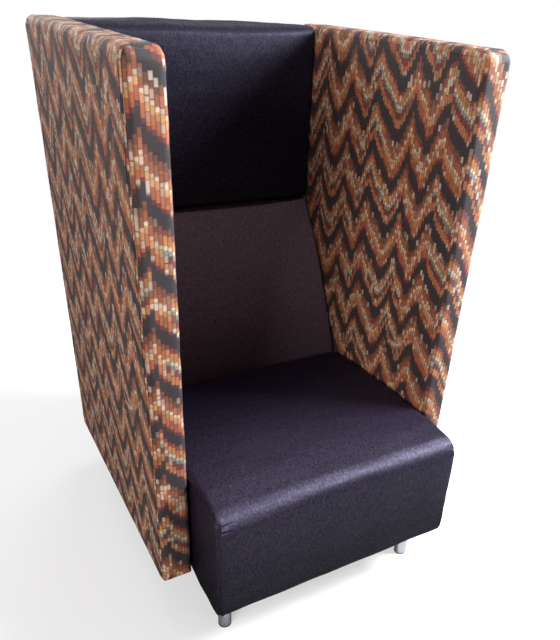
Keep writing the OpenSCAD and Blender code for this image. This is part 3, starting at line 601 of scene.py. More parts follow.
def hardboard():
    """Hardboard: hard pressed fibres, with small flecks and a faint screen mark."""
    paint = Paint("hardboard")
    places = paint.places()
    fibres = paint.noise(places, 260, 4, 0.7)
    x, y, z = paint.angles(places, 1.8 * mm)
    screen = (x + y).math("SINE") * z.math("SINE")
    hue = paint.blend(fibres, (0.085, 0.042, 0.022), (0.22, 0.125, 0.07))
    height = screen * 0.2 + fibres
    return paint.finish(hue, fibres * 0.25 + 0.45, height, 0.2 * mm, 0.4, specular=0.35)


def satin_steel():
    """Satin chromed tube: fine drawn lines along it, faint smudges and light scuffs near the floor."""
    paint = Paint("satin_chrome")
    places = paint.places()
    lines = paint.streaks(places, (1500, 1500, 22), 2, 0.6)
    smudge = paint.noise(places, 45, 3, 0.6)
    scuff = paint.noise(places, 420, 3, 0.7).between(0.58, 0.76) * paint.near_floor(0.06)
    hue = paint.blend(scuff, (0.86, 0.87, 0.89), (0.60, 0.60, 0.61))
    roughness = scuff * 0.25 + smudge * 0.10 + lines * 0.12 + 0.16
    return paint.finish(hue, roughness, lines, 0.05 * mm, 0.25, metallic=1.0, anisotropic=0.4)


def glide_plastic():
    """Grained black plastic, worn paler where it meets the floor."""
    paint = Paint("glide_plastic")
    places = paint.places()
    grain = paint.noise(places, 1400, 3, 0.7)
    worn = paint.noise(places, 300, 3) * paint.near_floor(2.5 * mm)
    hue = paint.blend(worn, (0.035, 0.035, 0.038), (0.16, 0.155, 0.15))
    return paint.finish(hue, grain * 0.25 + 0.42, grain, 0.08 * mm, 0.5, specular=0.4)


def zinc_steel():
    """Zinc-plated steel with its small crystals."""
    paint = Paint("zinc_plated_steel")
    places = paint.places()
    crystals = paint.made("ShaderNodeTexVoronoi", (places, 0.0, 520.0), "Position")
    fine = paint.noise(places, 900, 3, 0.6)
    hue = paint.blend(paint.random(crystals), (0.46, 0.48, 0.50), (0.64, 0.65, 0.66))
    return paint.finish(hue, fine * 0.25 + 0.25, fine, 0.06 * mm, 0.4, metallic=1.0)


# Shares, grooves and unevenness


def share(length, full):
    """0 where a length is nothing or less, and 1 from its full size on."""
    return np.clip(length / full, 0, 1)


def bell(distance, width):
    """1 on a line, and smoothly less with the distance from it."""
    return np.exp(-((distance / width) ** 2))


def wobble(points, length, seed, waves=9):
    """Smooth unevenness between about -1 and 1, with features of a given length."""
    draw = np.random.default_rng(seed)
    total = np.zeros(len(points))
    for _ in range(waves):
        direction = draw.normal(size=3)
        direction *= 2 * math.pi / (length * draw.uniform(0.7, 1.5) * np.linalg.norm(direction))
        total += np.sin(points @ direction + draw.uniform(0, 2 * math.pi))
    return total / math.sqrt(waves)


def uneven(points, broad, fine, seed):
    """Unevenness of padding. broad and fine each give a height and a length."""
    return broad[0] * wobble(points, broad[1], seed) + fine[0] * wobble(points, fine[1], seed + 1)


# Mesh building: closed forms from rings of equal point counts


def along(points):
    """Length along a polyline at each of its points."""
    steps = np.linalg.norm(np.diff(points, axis=0), axis=1)
    return np.concatenate([[0], np.cumsum(steps)])


def spaced(points, places):
    """Points of a polyline at shares of its length."""
    length = along(points)
    places = np.asarray(places) * length[-1]
    return np.stack([np.interp(places, length, column) for column in points.T], 1)


def fillet(before, after, radius, steps):
    """Points on the rounding of the corner in which two polylines meet."""
    corner = before[-1]
    a = spaced(before, [1 - radius / along(before)[-1]])[0]
    b = spaced(after, [radius / along(after)[-1]])[0]
    t = np.linspace(0, 1, 2 * steps + 1)[:, None]
    middle = 2 * math.sqrt(0.5) * t * (1 - t)
    return ((1 - t) ** 2 * a + middle * corner + t**2 * b) / ((1 - t) ** 2 + middle + t**2)


def rounded_loop(sides, radii, arc_steps, steps):
    """Rounds the four corners of a loop of four polylines. Returns its points.

    The sides run front upward, top rearward, rear downward and base forward, and the loop starts in the
    middle of the front's lower rounding. radii are those of the corner after each side.
    """
    corners = [fillet(sides[k], sides[(k + 1) % 4], radii[k], arc_steps) for k in range(4)]
    made = []
    for k in range(4):
        reach = along(sides[k])[-1]
        places = np.linspace(radii[k - 1] / reach, 1 - radii[k] / reach, steps[k % 2] - 2 * arc_steps + 1)
        made += [corners[k - 1][arc_steps:-1], spaced(sides[k], places), corners[k][1:arc_steps]]
    return np.concatenate(made)


def box_sides(y0, z0, y1, z1):
    """The four sides of an upright rectangle: front upward, top rearward, rear downward and base forward."""
    corners = [(y0, z0), (y0, z1), (y1, z1), (y1, z0), (y0, z0)]
    return [np.linspace(a, b, 24) for a, b in zip(corners, corners[1:])]


def coons(ring, rise, run):
    """Fills a ring with a smooth grid: rise steps up its front and rear, run steps along top and base."""
    ring = np.concatenate([ring, ring[:1]])
    front = ring[: rise + 1]
    top = ring[rise : rise + run + 1]
    rear = ring[rise + run : 2 * rise + run + 1][::-1]
    base = ring[2 * rise + run :][::-1]
    up = (along(front) / along(front)[-1] + along(rear) / along(rear)[-1]) / 2
    over = (along(top) / along(top)[-1] + along(base) / along(base)[-1]) / 2
    s, t = over[:, None, None], up[None, :, None]
    low = (1 - s) * base[0] + s * base[-1]
    high = (1 - s) * top[0] + s * top[-1]
    sides = (1 - s) * front[None] + s * rear[None]
    return (1 - t) * (base[:, None] - low) + t * (top[:, None] - high) + sides


def cells(grid):
    """The four corners of each cell of a grid."""
    return np.stack([grid[:-1, :-1], grid[1:, :-1], grid[1:, 1:], grid[:-1, 1:]], 2)


def closed_form(name, rings, rise, run, tube_cloth, end_cloth):
    """A closed mesh through rings, its two ends filled with grids, with a cloth map in metres.

    tube_cloth has one more column than the rings. end_cloth gives the map of points on the first (0)
    or last (1) end.
    """
    count, around_n = rings.shape[:2]
    j, k = np.meshgrid(np.arange(count - 1), np.arange(around_n), indexing="ij")
    k2 = (k + 1) % around_n
    quads = [j * around_n + k, j * around_n + k2, (j + 1) * around_n + k2, (j + 1) * around_n + k]
    maps = [tube_cloth[j, k], tube_cloth[j, k + 1], tube_cloth[j + 1, k + 1], tube_cloth[j + 1, k]]
    points = [rings.reshape(-1, 3)]
    faces = [np.stack(quads, -1).reshape(-1, 4)]
    cloth = [np.stack(maps, 2).reshape(-1, 4, 2)]
    total = count * around_n
    for end in (0, 1):
        grid = coons(rings[-end], rise, run)
        number = np.zeros(grid.shape[:2], int)
        first = end * (count - 1) * around_n
        number[0, :] = first + np.arange(rise + 1)
        number[:, rise] = first + rise + np.arange(run + 1)
        number[run, :] = first + rise + run + np.arange(rise, -1, -1)
        number[:, 0] = first + (2 * rise + run + np.arange(run, -1, -1)) % around_n
        number[0, 0] = first
        inner = grid[1:-1, 1:-1].reshape(-1, 3)
        number[1:-1, 1:-1] = total + np.arange(len(inner)).reshape(run - 1, rise - 1)
        total += len(inner)
        points.append(inner)
        quads = cells(number).reshape(-1, 4)
        maps = cells(end_cloth(grid, end)).reshape(-1, 4, 2)
        if end == 0:
            quads, maps = quads[:, ::-1], maps[:, ::-1]
        faces.append(quads)
        cloth.append(maps)
    points, faces, cloth = (np.concatenate(part) for part in (points, faces, cloth))
    a, b, c, d = (points[faces[:, n]] for n in range(4))
    if np.einsum("ij,ij->i", a, np.cross(b, c) + np.cross(c, d)).sum() < 0:
        faces, cloth = faces[:, ::-1], cloth[:, ::-1]
    mesh = bpy.data.meshes.new(name)
    mesh.from_pydata(points.tolist(), [], faces.tolist())
    layer = mesh.uv_layers.new(name="cloth")
    layer.data.foreach_set("uv", cloth.reshape(-1).astype(np.float32))
    mesh.shade_smooth()
    return add_piece(name, mesh)


def add_piece(name, mesh):
    made = bpy.data.objects.new(name, mesh)
    scene.collection.objects.link(made)
    return made


def read(values, key):
    flat = np.zeros(len(values) * 3, np.float32)
    values.foreach_get(key, flat)
    return flat.reshape(-1, 3).astype(float)


def read_points(mesh):
    return read(mesh.vertices, "co")


def read_surface(piece):
    """A piece's points and their normals."""
    return read_points(piece.data), read(piece.data.vertex_normals, "vector")


def write_points(piece, points):
    piece.data.vertices.foreach_set("co", points.reshape(-1).astype(np.float32))
    piece.data.update()


def settle(piece):
    """Applies a piece's modifiers."""
    graph = bpy.context.evaluated_depsgraph_get()
    made = bpy.data.meshes.new_from_object(piece.evaluated_get(graph))
    piece.modifiers.clear()
    piece.data = made
    made.name = piece.name


def smoothed(piece, values, rounds):
    """Evens values out over a piece's mesh."""
    edges = np.zeros(len(piece.data.edges) * 2, np.int32)
    piece.data.edges.foreach_get("vertices", edges)
    a, b = edges.reshape(-1, 2).T
    count = np.bincount(np.concatenate([a, b]), minlength=len(values))[:, None]
    for _ in range(rounds):
        total = np.zeros_like(values)
        np.add.at(total, a, values[b])
        np.add.at(total, b, values[a])
        values = 0.4 * values + 0.6 * total / count
    return values


def swell(piece, pressure, most, *holds):
    """Fills a soft piece with a short cloth simulation, in which a point moves by at most the given length.

    Each of holds gives how firmly the points are held, from 0 to 1, and the firmest counts.
    """
    frames = 20
    keep = np.maximum.reduce(holds)
    rest = read_points(piece.data)
    held = piece.vertex_groups.new(name="held")
    for firm in np.unique(np.round(keep, 1)):
        if firm > 0:
            held.add(np.nonzero(np.round(keep, 1) == firm)[0].tolist(), float(firm), "REPLACE")
    cloth = piece.modifiers.new("swell", "CLOTH")
    cloth.settings.quality = 5
    cloth.settings.mass = 0.35
    cloth.settings.tension_stiffness = 12
    cloth.settings.compression_stiffness = 12
    cloth.settings.shear_stiffness = 6
    cloth.settings.bending_stiffness = 0.6
    cloth.settings.use_pressure = True
    cloth.settings.uniform_pressure_force = pressure
    cloth.settings.effector_weights.gravity = 0
    cloth.settings.vertex_group_mass = "held"
    cloth.collision_settings.use_collision = False
    cloth.point_cache.frame_start = 1
    cloth.point_cache.frame_end = frames
    for number in range(1, frames + 1):
        scene.frame_set(number)
    graph = bpy.context.evaluated_depsgraph_get()
    move = read_points(piece.evaluated_get(graph).data) - rest
    size = np.linalg.norm(move, axis=1, keepdims=True)
    move *= np.where(size > 1e-9, most * np.tanh(size / most) / np.maximum(size, 1e-9), 0)
    piece.modifiers.remove(cloth)
    piece.vertex_groups.clear()
    scene.frame_set(1)
    move = smoothed(piece, move, 30) * (1 - keep)[:, None]
    write_points(piece, rest + move)


def refine(piece):
    smooth = piece.modifiers.new("refine", "SUBSURF")
    smooth.levels = smooth.render_levels = 1
    settle(piece)


def densify(piece, chosen):
    """Halves the mesh's steps where all corners of a face are chosen, for folds and seams."""
    work = bmesh.new()
    work.from_mesh(piece.data)
    work.verts.ensure_lookup_table()
    edges = [e for e in work.edges if all(chosen[v.index] for v in e.verts)]
    bmesh.ops.subdivide_edges(work, edges=edges, cuts=1, use_grid_fill=True)
    work.to_mesh(piece.data)
    work.free()
    piece.data.shade_smooth()


def line_distance(points, a, b):
    """Distance of points from a segment, and how far along it they lie from 0 to 1."""
    a, b = np.asarray(a, float), np.asarray(b, float)
    t = np.clip((points - a) @ (b - a) / ((b - a) @ (b - a)), 0, 1)
    return np.linalg.norm(points - a - t[:, None] * (b - a), axis=1), t


def fit(piece, material, slot, *nodes):
    """Gives a piece its material, lets it ride on the chair's body and stand for its nodes. The slot
    argument is not used.
    """
    piece.data.materials.append(material)
    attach(piece, "root")
    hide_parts(*nodes)


# Cushions between the wings


def side_stations(half_w, r, arc_steps=5, middle_steps=64):
    """Stations across a cushion: place, extra inset that rounds the edge and length along the cloth."""
    made = []
    for k in range(arc_steps + 1):
        a = math.pi / 2 * k / arc_steps
        length = -half_w + r - r * (math.pi / 2 - a)
        made.append((-half_w + r * (1 - math.cos(a)), r * (1 - math.sin(a)), length))
    flat = half_w - r
    for k in range(1, middle_steps):
        x = flat * (2 * k / middle_steps - 1)
        made.append((x, 0.0, x))
    return made + [(-x, i, -u) for x, i, u in reversed(made[: arc_steps + 1])]


def cushion(name, profile, edge_r, inset, crown, rise, run):
    """A closed cushion: a rounded side profile carried across, drawn in at both sides."""
    half_w = HALF_W - inset
    stations = side_stations(half_w, edge_r)
    outline = profile(inset)
    around_length = along(np.concatenate([outline, outline[:1]]))
    rings, cloth = [], []
    for x, extra, u in stations:
        ring = profile(inset + extra)
        rings.append(np.column_stack([np.full(len(ring), x), ring]))
        cloth.append(np.column_stack([np.full(len(ring) + 1, u), around_length]))
    rings = np.array(rings)
    flat = rings.reshape(-1, 3)
    flat += crown(flat, half_w)
    front_y = rings[..., 1].min()
    edge_u = abs(stations[0][2])

    def end_cloth(grid, end):
        side = 1 if end else -1
        u = side * (edge_u + grid[..., 2].max() - grid[..., 2])
        return np.stack([u, around_length[rise] + grid[..., 1] - front_y], -1)

    return closed_form(name, rings, rise, run, np.array(cloth), end_cloth)


def rounded(inset, *radii):
    """Radii that shrink with the inset, down to a least one."""
    return [max(r - inset, mm) for r in radii]


def seat_profile(inset):
    front, rear = seat_low.y + inset, seat_high.y - inset
    base = seat_low.z + 0.12 * max(inset - START_INSET, 0)
    y = np.linspace(front, rear, 60)
    s = (y - seat_low.y) / (seat_high.y - seat_low.y)
    z = seat_low.z + SEAT_TOP_H - SEAT_REAR_DROP * s + 4 * SEAT_LONG_CROWN * s * (1 - s) - inset
    sides = box_sides(front, base, rear, base)
    sides[0][:, 1] = np.linspace(base, z[0], 24)
    sides[1] = np.column_stack([y, z])
    sides[2][:, 1] = np.linspace(z[-1], base, 24)
    radii = rounded(inset, SEAT_FRONT_R, SEAT_REAR_R, 2 * mm + inset, SEAT_BASE_R)
    return rounded_loop(sides, radii, 7, SEAT_STEPS)


def seat_crown(points, half_w):
    x, y, z = points.T
    up = share(z - seat_low.z - SEAT_TOP_H + SEAT_FRONT_R, SEAT_FRONT_R)
    # The padding gives way a little towards the front edge
    drop = SEAT_CROSS_CROWN * (x / half_w) ** 2 + SEAT_FRONT_EASE * np.exp((seat_low.y - y) / (80 * mm))
    return np.outer(drop * up, (0, 0, -1))


def seat_corner_seam(points, side):
    """Depth of the sewn seam down one front corner, on the middle of the rounding, and of its pleats."""
    x, y, z = (points * [side, 1, 1]).T
    to_side = x - HALF_W + SEAT_EDGE_R
    to_front = seat_low.y + SEAT_EDGE_R - y
    top = seat_low.z + SEAT_TOP_H - SEAT_FRONT_R * 0.4
    near = np.clip(np.minimum(to_side, to_front) / (4 * mm) + 1, 0, 1)
    away = (to_front - to_side) * math.sqrt(0.5)
    seam = SEAT_SEAM_DEPTH * bell(away, SEAT_SEAM_W) - 1.5 * mm * bell(away - 8 * mm, 3.8 * mm)
    pucker = 0.4 * mm * np.sin(z * 2 * math.pi / (15 * mm)) * bell(away, 14 * mm)
    depth = (seam * near + pucker) * share(top - z, 12 * mm)
    # Short pleats that take up the cloth under the top corner, on the front only
    face = np.column_stack([x, z])
    start = HALF_W - 6 * mm
    strong = 1.0 if side < 0 else RIGHT_PLEATS_SHARE
    for drop, reach, lift in PLEATS:
        a = (start, top - drop * mm)
        b = (start - reach * mm, top - (drop - lift) * mm)
        away, t = line_distance(face, a, b)
        above = z > a[1] + (b[1] - a[1]) * t
        fold = PLEAT_DEPTH * bell(away, PLEAT_W) - above * 2.2 * mm * bell(away - 5.5 * mm, 2.8 * mm)
        depth += strong * fold * (1 - t) ** 0.8 * share(to_front, 6 * mm)
    # The cloth stands up in a small point where the seams meet
    tip = np.array([HALF_W - 6 * mm, seat_low.y + 7 * mm, top + 3 * mm])
    to_tip = np.linalg.norm(points * [side, 1, 1] - tip, axis=1)
    return depth - strong * 2.2 * mm * bell(to_tip, 13 * mm)


def make_seat(material):
    seat = cushion("seat", seat_profile, SEAT_EDGE_R, START_INSET, seat_crown, *SEAT_STEPS)
    x, y, z = read_points(seat.data).T
    low = share(seat_low.z + 60 * mm - z, 50 * mm)
    hidden = share(y - seat_high.y + 60 * mm, 50 * mm)
    sides = np.where(abs(x) > HALF_W - 8 * mm, share(y - band_low.y, 30 * mm), 0)
    swell(seat, 3.0, 6 * mm, low, hidden, sides)
    refine(seat)
    x, y, z = read_points(seat.data).T
    densify(seat, (abs(x) > HALF_W - 70 * mm) & (y < seat_low.y + 40 * mm))
    x, y, z = read_points(seat.data).T
    near_corner = (abs(x) > HALF_W - 60 * mm) & (y < seat_low.y + 30 * mm)
    densify(seat, near_corner & (z > seat_low.z + SEAT_TOP_H - 90 * mm))
    points, normals = read_surface(seat)
    x, y, z = points.T
    soft = uneven(points, *SEAT_WAVES, 5) * share(seat_high.y - y, 60 * mm)
    depth = seat_corner_seam(points, -1) + seat_corner_seam(points, 1)
    points += normals * (soft - depth)[:, None]
    # The lower edge waves a little where the cloth is stapled under it
    edge = bell(z - seat_low.z, 18 * mm) * (normals[:, 2] > -0.9)
    lift = 1.4 * mm * (1 + wobble(points * [1, 1, 0], 0.16, 8))
    z += edge * (lift + SEAT_HEM_LIFT * share(x / HALF_W + 1, 2))
    # In front of the wings nothing holds the sides, so they stand out a little
    bulge = SEAT_FREE_BULGE * share(band_low.y - y, 45 * mm)
    x[:] = np.clip(x, -HALF_W, HALF_W) * (1 + bulge / HALF_W)
    # A flat recess takes the lining underneath
    z[:] = np.maximum(z, seat_low.z)
    inside = (abs(x) < HALF_W + bulge - HEM_W) & (y > seat_low.y + HEM_W)
    z[inside & (z < seat_low.z + 2 * mm)] = seat_low.z + HEM_T
    write_points(seat, points)
    fit(seat, material, "navy_fabric", "seat_cover", "seat_foam", "seat_wrap_foam")


def shifted(side, inset):
    """A polyline moved inward, to the right of its direction."""
    way = np.gradient(side, axis=0)
    way /= np.linalg.norm(way, axis=1, keepdims=True)
    return side + inset * np.column_stack([way[:, 1], -way[:, 0]])


def meet(before, after):
    """Trims or lengthens two polylines so that they meet in one corner."""
    d = before[-1] - before[-2]
    e = after[1] - after[0]
    s, _ = np.linalg.solve(np.column_stack([d, -e]), after[0] - before[-1])
    corner = before[-1] + s * d
    before[-1] = corner
    after[0] = corner


def lower_profile(inset):
    front, rear = lower_low.y + inset, lower_high.y - inset
    top_z = LOWER_TOP_Z - inset
    a = np.array([lower_low.y, CREASE_Z])
    c = np.array([LOWER_TOP_Y, LOWER_TOP_Z - LOWER_TOP_R])
    chord = c - a
    b = (a + c) / 2 + 2 * LOWER_BULGE * np.array([-chord[1], chord[0]]) / np.linalg.norm(chord)
    t = np.linspace(0, 1, 60)[:, None]
    face = shifted((1 - t) ** 2 * a + 2 * t * (1 - t) * b + t**2 * c, inset)
    face[:, 0] = np.maximum(face[:, 0], front)
    face = np.concatenate([[[front, lower_low.z]], face])
    top = np.linspace([LOWER_TOP_Y, top_z], [rear, top_z], 24)
    meet(face, top)
    down = np.linspace([rear, top_z], [rear, lower_low.z], 24)
    base = np.linspace(down[-1], face[0], 24)
    radii = [max(LOWER_TOP_R * 1.4 - inset, mm), 2 * mm, 2 * mm, 2 * mm]
    return rounded_loop([face, top, down, base], radii, 5, LOWER_STEPS)


def lower_crown(points, half_w):
    x, y, z = points.T
    up = share(z - CREASE_Z, (LOWER_TOP_Z - CREASE_Z) / 3)
    ahead = share(lower_high.y - y, 60 * mm)
    drop = BACK_CROSS_CROWN * (x / half_w) ** 2 * np.sin(up * math.pi / 2) * ahead
    return np.outer(drop, (0, 1, 0))


def held_sides(points):
    return share(abs(points[:, 0]) - HALF_W + 12 * mm, 6 * mm)


def make_lower_back(material):
    piece = cushion("lower_back", lower_profile, BACK_EDGE_R, START_INSET, lower_crown, *LOWER_STEPS)
    points = read_points(piece.data)
    low = share(CREASE_Z + 40 * mm - points[:, 2], 40 * mm)
    hidden = share(points[:, 1] - lower_high.y + 40 * mm, 30 * mm)
    swell(piece, 2.5, 6 * mm, low, hidden, held_sides(points))
    refine(piece)
    points, normals = read_surface(piece)
    soft = uneven(points, *LOWER_WAVES, 15) * share(points[:, 2] - CREASE_Z, 60 * mm)
    points += normals * soft[:, None]
    write_points(piece, np.clip(points, (-HALF_W, -1, 0), (HALF_W, lower_high.y, LOWER_TOP_Z)))
    fit(piece, material, "navy_fabric", "lower_back_cover", "lower_back_foam")


def upper_profile(inset):
    low, high = upper_low, upper_high
    sides = box_sides(low.y + inset, low.z + inset, high.y - inset, high.z - inset)
    radii = rounded(inset, UPPER_TOP_R, UPPER_TOP_R, 2 * mm + inset, UPPER_BASE_R)
    return rounded_loop(sides, radii, 5, UPPER_STEPS)


def upper_crown(points, half_w):
    x, y, z = points.T
    across = (x / half_w) ** 2
    ahead = share(upper_high.y - y, 60 * mm)
    up = share(z - upper_high.z + 60 * mm, 60 * mm)
    return np.column_stack([0 * across, BACK_CROSS_CROWN * across * ahead, -BACK_TOP_CROWN * across * up])


def make_upper_back(material):
    piece = cushion("upper_back", upper_profile, BACK_EDGE_R, UPPER_START_INSET, upper_crown, *UPPER_STEPS)
    points = read_points(piece.data)
    hidden = share(points[:, 1] - upper_high.y + 30 * mm, 20 * mm)
    swell(piece, 2.0, 5 * mm, hidden, held_sides(points))
    refine(piece)
    points, normals = read_surface(piece)
    soft = uneven(points, *UPPER_WAVES, 25) * share(upper_high.y - points[:, 1], 50 * mm)
    points += normals * soft[:, None]
    write_points(piece, np.clip(points, (-HALF_W, -1, upper_low.z), (HALF_W, upper_high.y, 2)))
    fit(piece, material, "navy_fabric", "upper_back_cover", "upper_back_foam")


def rear_profile(inset):
    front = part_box("rear_padding")[0].y
    sides = box_sides(front, rear_low.z + inset, rear_high.y - inset, rear_high.z - inset)
    radii = rounded(inset, mm, REAR_EDGE_R, REAR_EDGE_R, mm)
    return rounded_loop(sides, radii, 4, REAR_STEPS)


def rear_crown(points, half_w):
    """The closing seam draws the panel's edges down."""
    x, y, z = points.T
    to_end = np.minimum(z - rear_low.z, rear_high.z - z)
    middle = share(half_w - abs(x), 45 * mm) * share(to_end, 45 * mm)
    return np.outer(3 * mm * (1 - np.sqrt(middle)) * (y > rear_high.y - 8 * mm), (0, -1, 0))


def make_rear_panel(material):
    """Padded panel over the whole rear, its edges turned in."""
    piece = cushion("rear_panel", rear_profile, 6 * mm, 0, rear_crown, *REAR_STEPS)
    points, normals = read_surface(piece)
    soft = 0.5 * mm * wobble(points, 0.22, 35) - 0.6 * mm
    points[:, 1] += soft * (normals[:, 1] > 0.5)
    write_points(piece, points)
    fit(piece, material, "navy_fabric", "rear_cover", "rear_padding")


# Wings


def wing_loop(inset_side, inset_base, top_r, base_r):
    front, rear = band_low.y + inset_side, tail_high.y - inset_side
    sides = box_sides(front, band_low.z + inset_base, rear, wing_high.z - inset_side)
    return rounded_loop(sides, [top_r, top_r, base_r, base_r], 8, WING_STEPS)


def wing_rings(outer, inner):
    """Rings from a wing's inner face over its edge to its outer face, in thickness, Y and Z.

    The second value is the length of the cloth from the inner face to each ring.
    """
    low = share(band_low.z + 12 * mm - outer[:, 1], 12 * mm)
    round_t = WING_EDGE_R + (WING_BASE_R - WING_EDGE_R) * low
    angles = np.radians(EDGE_ANGLES)
    rings, lengths = [], []
    for a in angles:
        yz = inner + (outer - inner) * math.sin(a)
        rings.append(np.column_stack([round_t * (1 - math.cos(a)), yz]))
        lengths.append(WING_EDGE_R * a)
    flat = WING_T - 2 * WING_EDGE_R
    for k in range(1, 5):
        t = round_t + (WING_T - 2 * round_t) * k / 5
        rings.append(np.column_stack([t, outer]))
        lengths.append(lengths[len(angles) - 1] + flat * k / 5)
    for k in range(len(angles) - 1, -1, -1):
        rings.append(np.column_stack([WING_T - rings[k][:, 0], rings[k][:, 1:]]))
        lengths.append(WING_EDGE_R * math.pi + flat - lengths[k])
    return np.array(rings), np.array(lengths)


def closed_columns(u, v, last_v):
    """A cloth map with one column more, which closes the round."""
    end = np.stack([u[:, 0], last_v], -1)
    return np.concatenate([np.stack([u, v], -1), end[:, None]], 1)


def make_wing(side, material):
    word = "left" if side < 0 else "right"
    outer = wing_loop(0, 0, WING_CORNER_R, WING_BASE_R)
    inner = wing_loop(WING_EDGE_R, WING_BASE_R, WING_CORNER_R - WING_EDGE_R, 2 * mm)
    way = (outer - inner) / np.linalg.norm(outer - inner, axis=1, keepdims=True)
    rings, lengths = wing_rings(outer, inner)
    total = lengths[-1]
    lengths = np.repeat(lengths[:, None], len(outer), 1)

    # The sleeve's cloth runs up the face that the camera sees, over the top and down the other face
    fold = 2 * (wing_high.z - WING_EDGE_R) + total
    near = lengths < total / 2
    from_near = np.where(near, lengths, total - lengths)
    flat_v = inner[:, 1] + from_near * way[:, 1]
    sleeve_v = np.where(near == (side > 0), flat_v, fold - flat_v)
    sleeve = closed_columns(inner[:, 0] + from_near * way[:, 0], sleeve_v, sleeve_v[:, 0])
    mean_line = (outer + inner) / 2
    round_length = along(np.concatenate([mean_line, mean_line[:1]]))
    band_v = np.broadcast_to(round_length[:-1], lengths.shape)
    band = closed_columns(lengths, band_v, np.full(len(lengths), round_length[-1]))

    def sleeve_end(grid, end):
        shown = (end == 0) == (side > 0)
        return np.stack([grid[..., 1], grid[..., 2] if shown else fold - grid[..., 2]], -1)

    def band_end(grid, end):
        depth = WING_EDGE_R + np.minimum(grid[..., 1] - band_low.y, tail_high.y - grid[..., 1])
        return np.stack([total + depth if end else -depth, grid[..., 2]], -1)

    front_cut = band_low.y + WING_SEAM_SETBACK
    rear_cut = tail_high.y - WING_SEAM_SETBACK
    gap = 0.15 * mm
    starts = BAND_STARTS[side]
    parts = [
        ("sleeve", sleeve, sleeve_end, front_cut + gap, rear_cut - gap, 0.0),
        ("front_edge", band, band_end, -1, front_cut - gap, starts[0]),
        ("rear_edge", band, band_end, rear_cut + gap, 1, starts[1]),
    ]
    nodes = {
        "sleeve": ("cover", "outer_foam", "inner_foam", "edge_foam"),
        "front_edge": ("front_band",),
        "rear_edge": ("rear_band",),
    }
    for part, cloth, end_cloth, y0, y1, start in parts:
        name = f"{word}_wing_{part}"
        piece = closed_form(name, rings, *WING_STEPS, cloth + start, lambda g, e: end_cloth(g, e) + start)
        shape_wing(piece, side, (front_cut, rear_cut))
        cut_between(piece, y0, y1)
        piece.data.shade_smooth()
        fit(piece, material, "printed_fabric", *(f"{word}_wing_{node}" for node in nodes[part]))


def shape_wing(piece, side, cuts):
    """Puts a wing in its place, draws the cloth in along the seams and makes the padding uneven."""
    points, normals = read_surface(piece)
    x, y, z = points.copy().T
    seed = 40 if side < 0 else 60
    depth = np.zeros(len(points))
    for cut in cuts:
        away = abs(y - cut)
        phase = z / (23 * mm) + x / (19 * mm) + 0.6 * wobble(points, 0.09, seed + 1)
        depth += WING_SEAM_DEPTH * bell(away, WING_SEAM_W)
        depth += 0.35 * mm * bell(away, 15 * mm) * np.sin(2 * math.pi * phase)
        depth -= 0.5 * mm * bell(away - 9 * mm, 6 * mm)
    inside_y = np.minimum(y - band_low.y, tail_high.y - y)
    inside_z = np.minimum(z - band_low.z, wing_high.z - z)
    middle = share(np.minimum(inside_y, inside_z), 140 * mm)
    depth += 1.6 * mm * abs(normals[:, 0]) ** 3 * (1 - np.sqrt(middle)) - 0.2 * mm
    depth -= 0.45 * mm * wobble(points, 0.17, seed) + 0.22 * mm * wobble(points, 0.05, seed + 2)
    corner = bell(np.minimum(inside_y, 60 * mm) + np.minimum(inside_z, 60 * mm), 42 * mm)
    corner *= z > wing_high.z - 0.2
    depth += corner * (1.1 * mm * wobble(points, 0.028, seed + 3) + 1.2 * mm)
    # The padding stands up a little along the top
    middle = np.sin(math.pi * share(y - band_low.y, tail_high.y - band_low.y))
    depth -= 1.6 * mm * np.clip(normals[:, 2], 0, 1) * middle
    points -= normals * (depth * share(z - band_low.z, 25 * mm))[:, None]
    # The cloth is drawn up a little under the front edge
    ahead = share(band_low.y + 24 * mm - points[:, 1], 14 * mm)
    points[:, 2] += WING_FOOT_LIFT * ahead * bell(points[:, 2] - band_low.z, 40 * mm)
    # A flat recess takes the lining underneath
    under = (normals[:, 2] < -0.9) & (z < band_low.z + mm)
    within = (x > HEM_W / 2) & (x < WING_T - HEM_W / 2) & (inside_y > HEM_W)
    points[under & within, 2] = band_low.z + HEM_T
    points[:, 2] = np.maximum(points[:, 2], band_low.z)
    points[:, 0] = side * (wing_low.x + np.maximum(points[:, 0], 0))
    write_points(piece, points)
    if side < 0:
        piece.data.flip_normals()


def cut_between(piece, y0, y1):
    """Keeps the part of a closed piece between two planes across the chair, and closes it again."""
    work = bmesh.new()
    work.from_mesh(piece.data)
    for y, way in ((y0, -1), (y1, 1)):
        everything = work.verts[:] + work.edges[:] + work.faces[:]
        plane = {"plane_co": (0, y, 0), "plane_no": (0, way, 0)}
        cut = bmesh.ops.bisect_plane(work, geom=everything, clear_outer=True, **plane)
        rim = [e for e in cut["geom_cut"] if isinstance(e, bmesh.types.BMEdge)]
        if rim:
            bmesh.ops.holes_fill(work, edges=rim, sides=0)
    work.to_mesh(piece.data)
    work.free()


# Underside linings


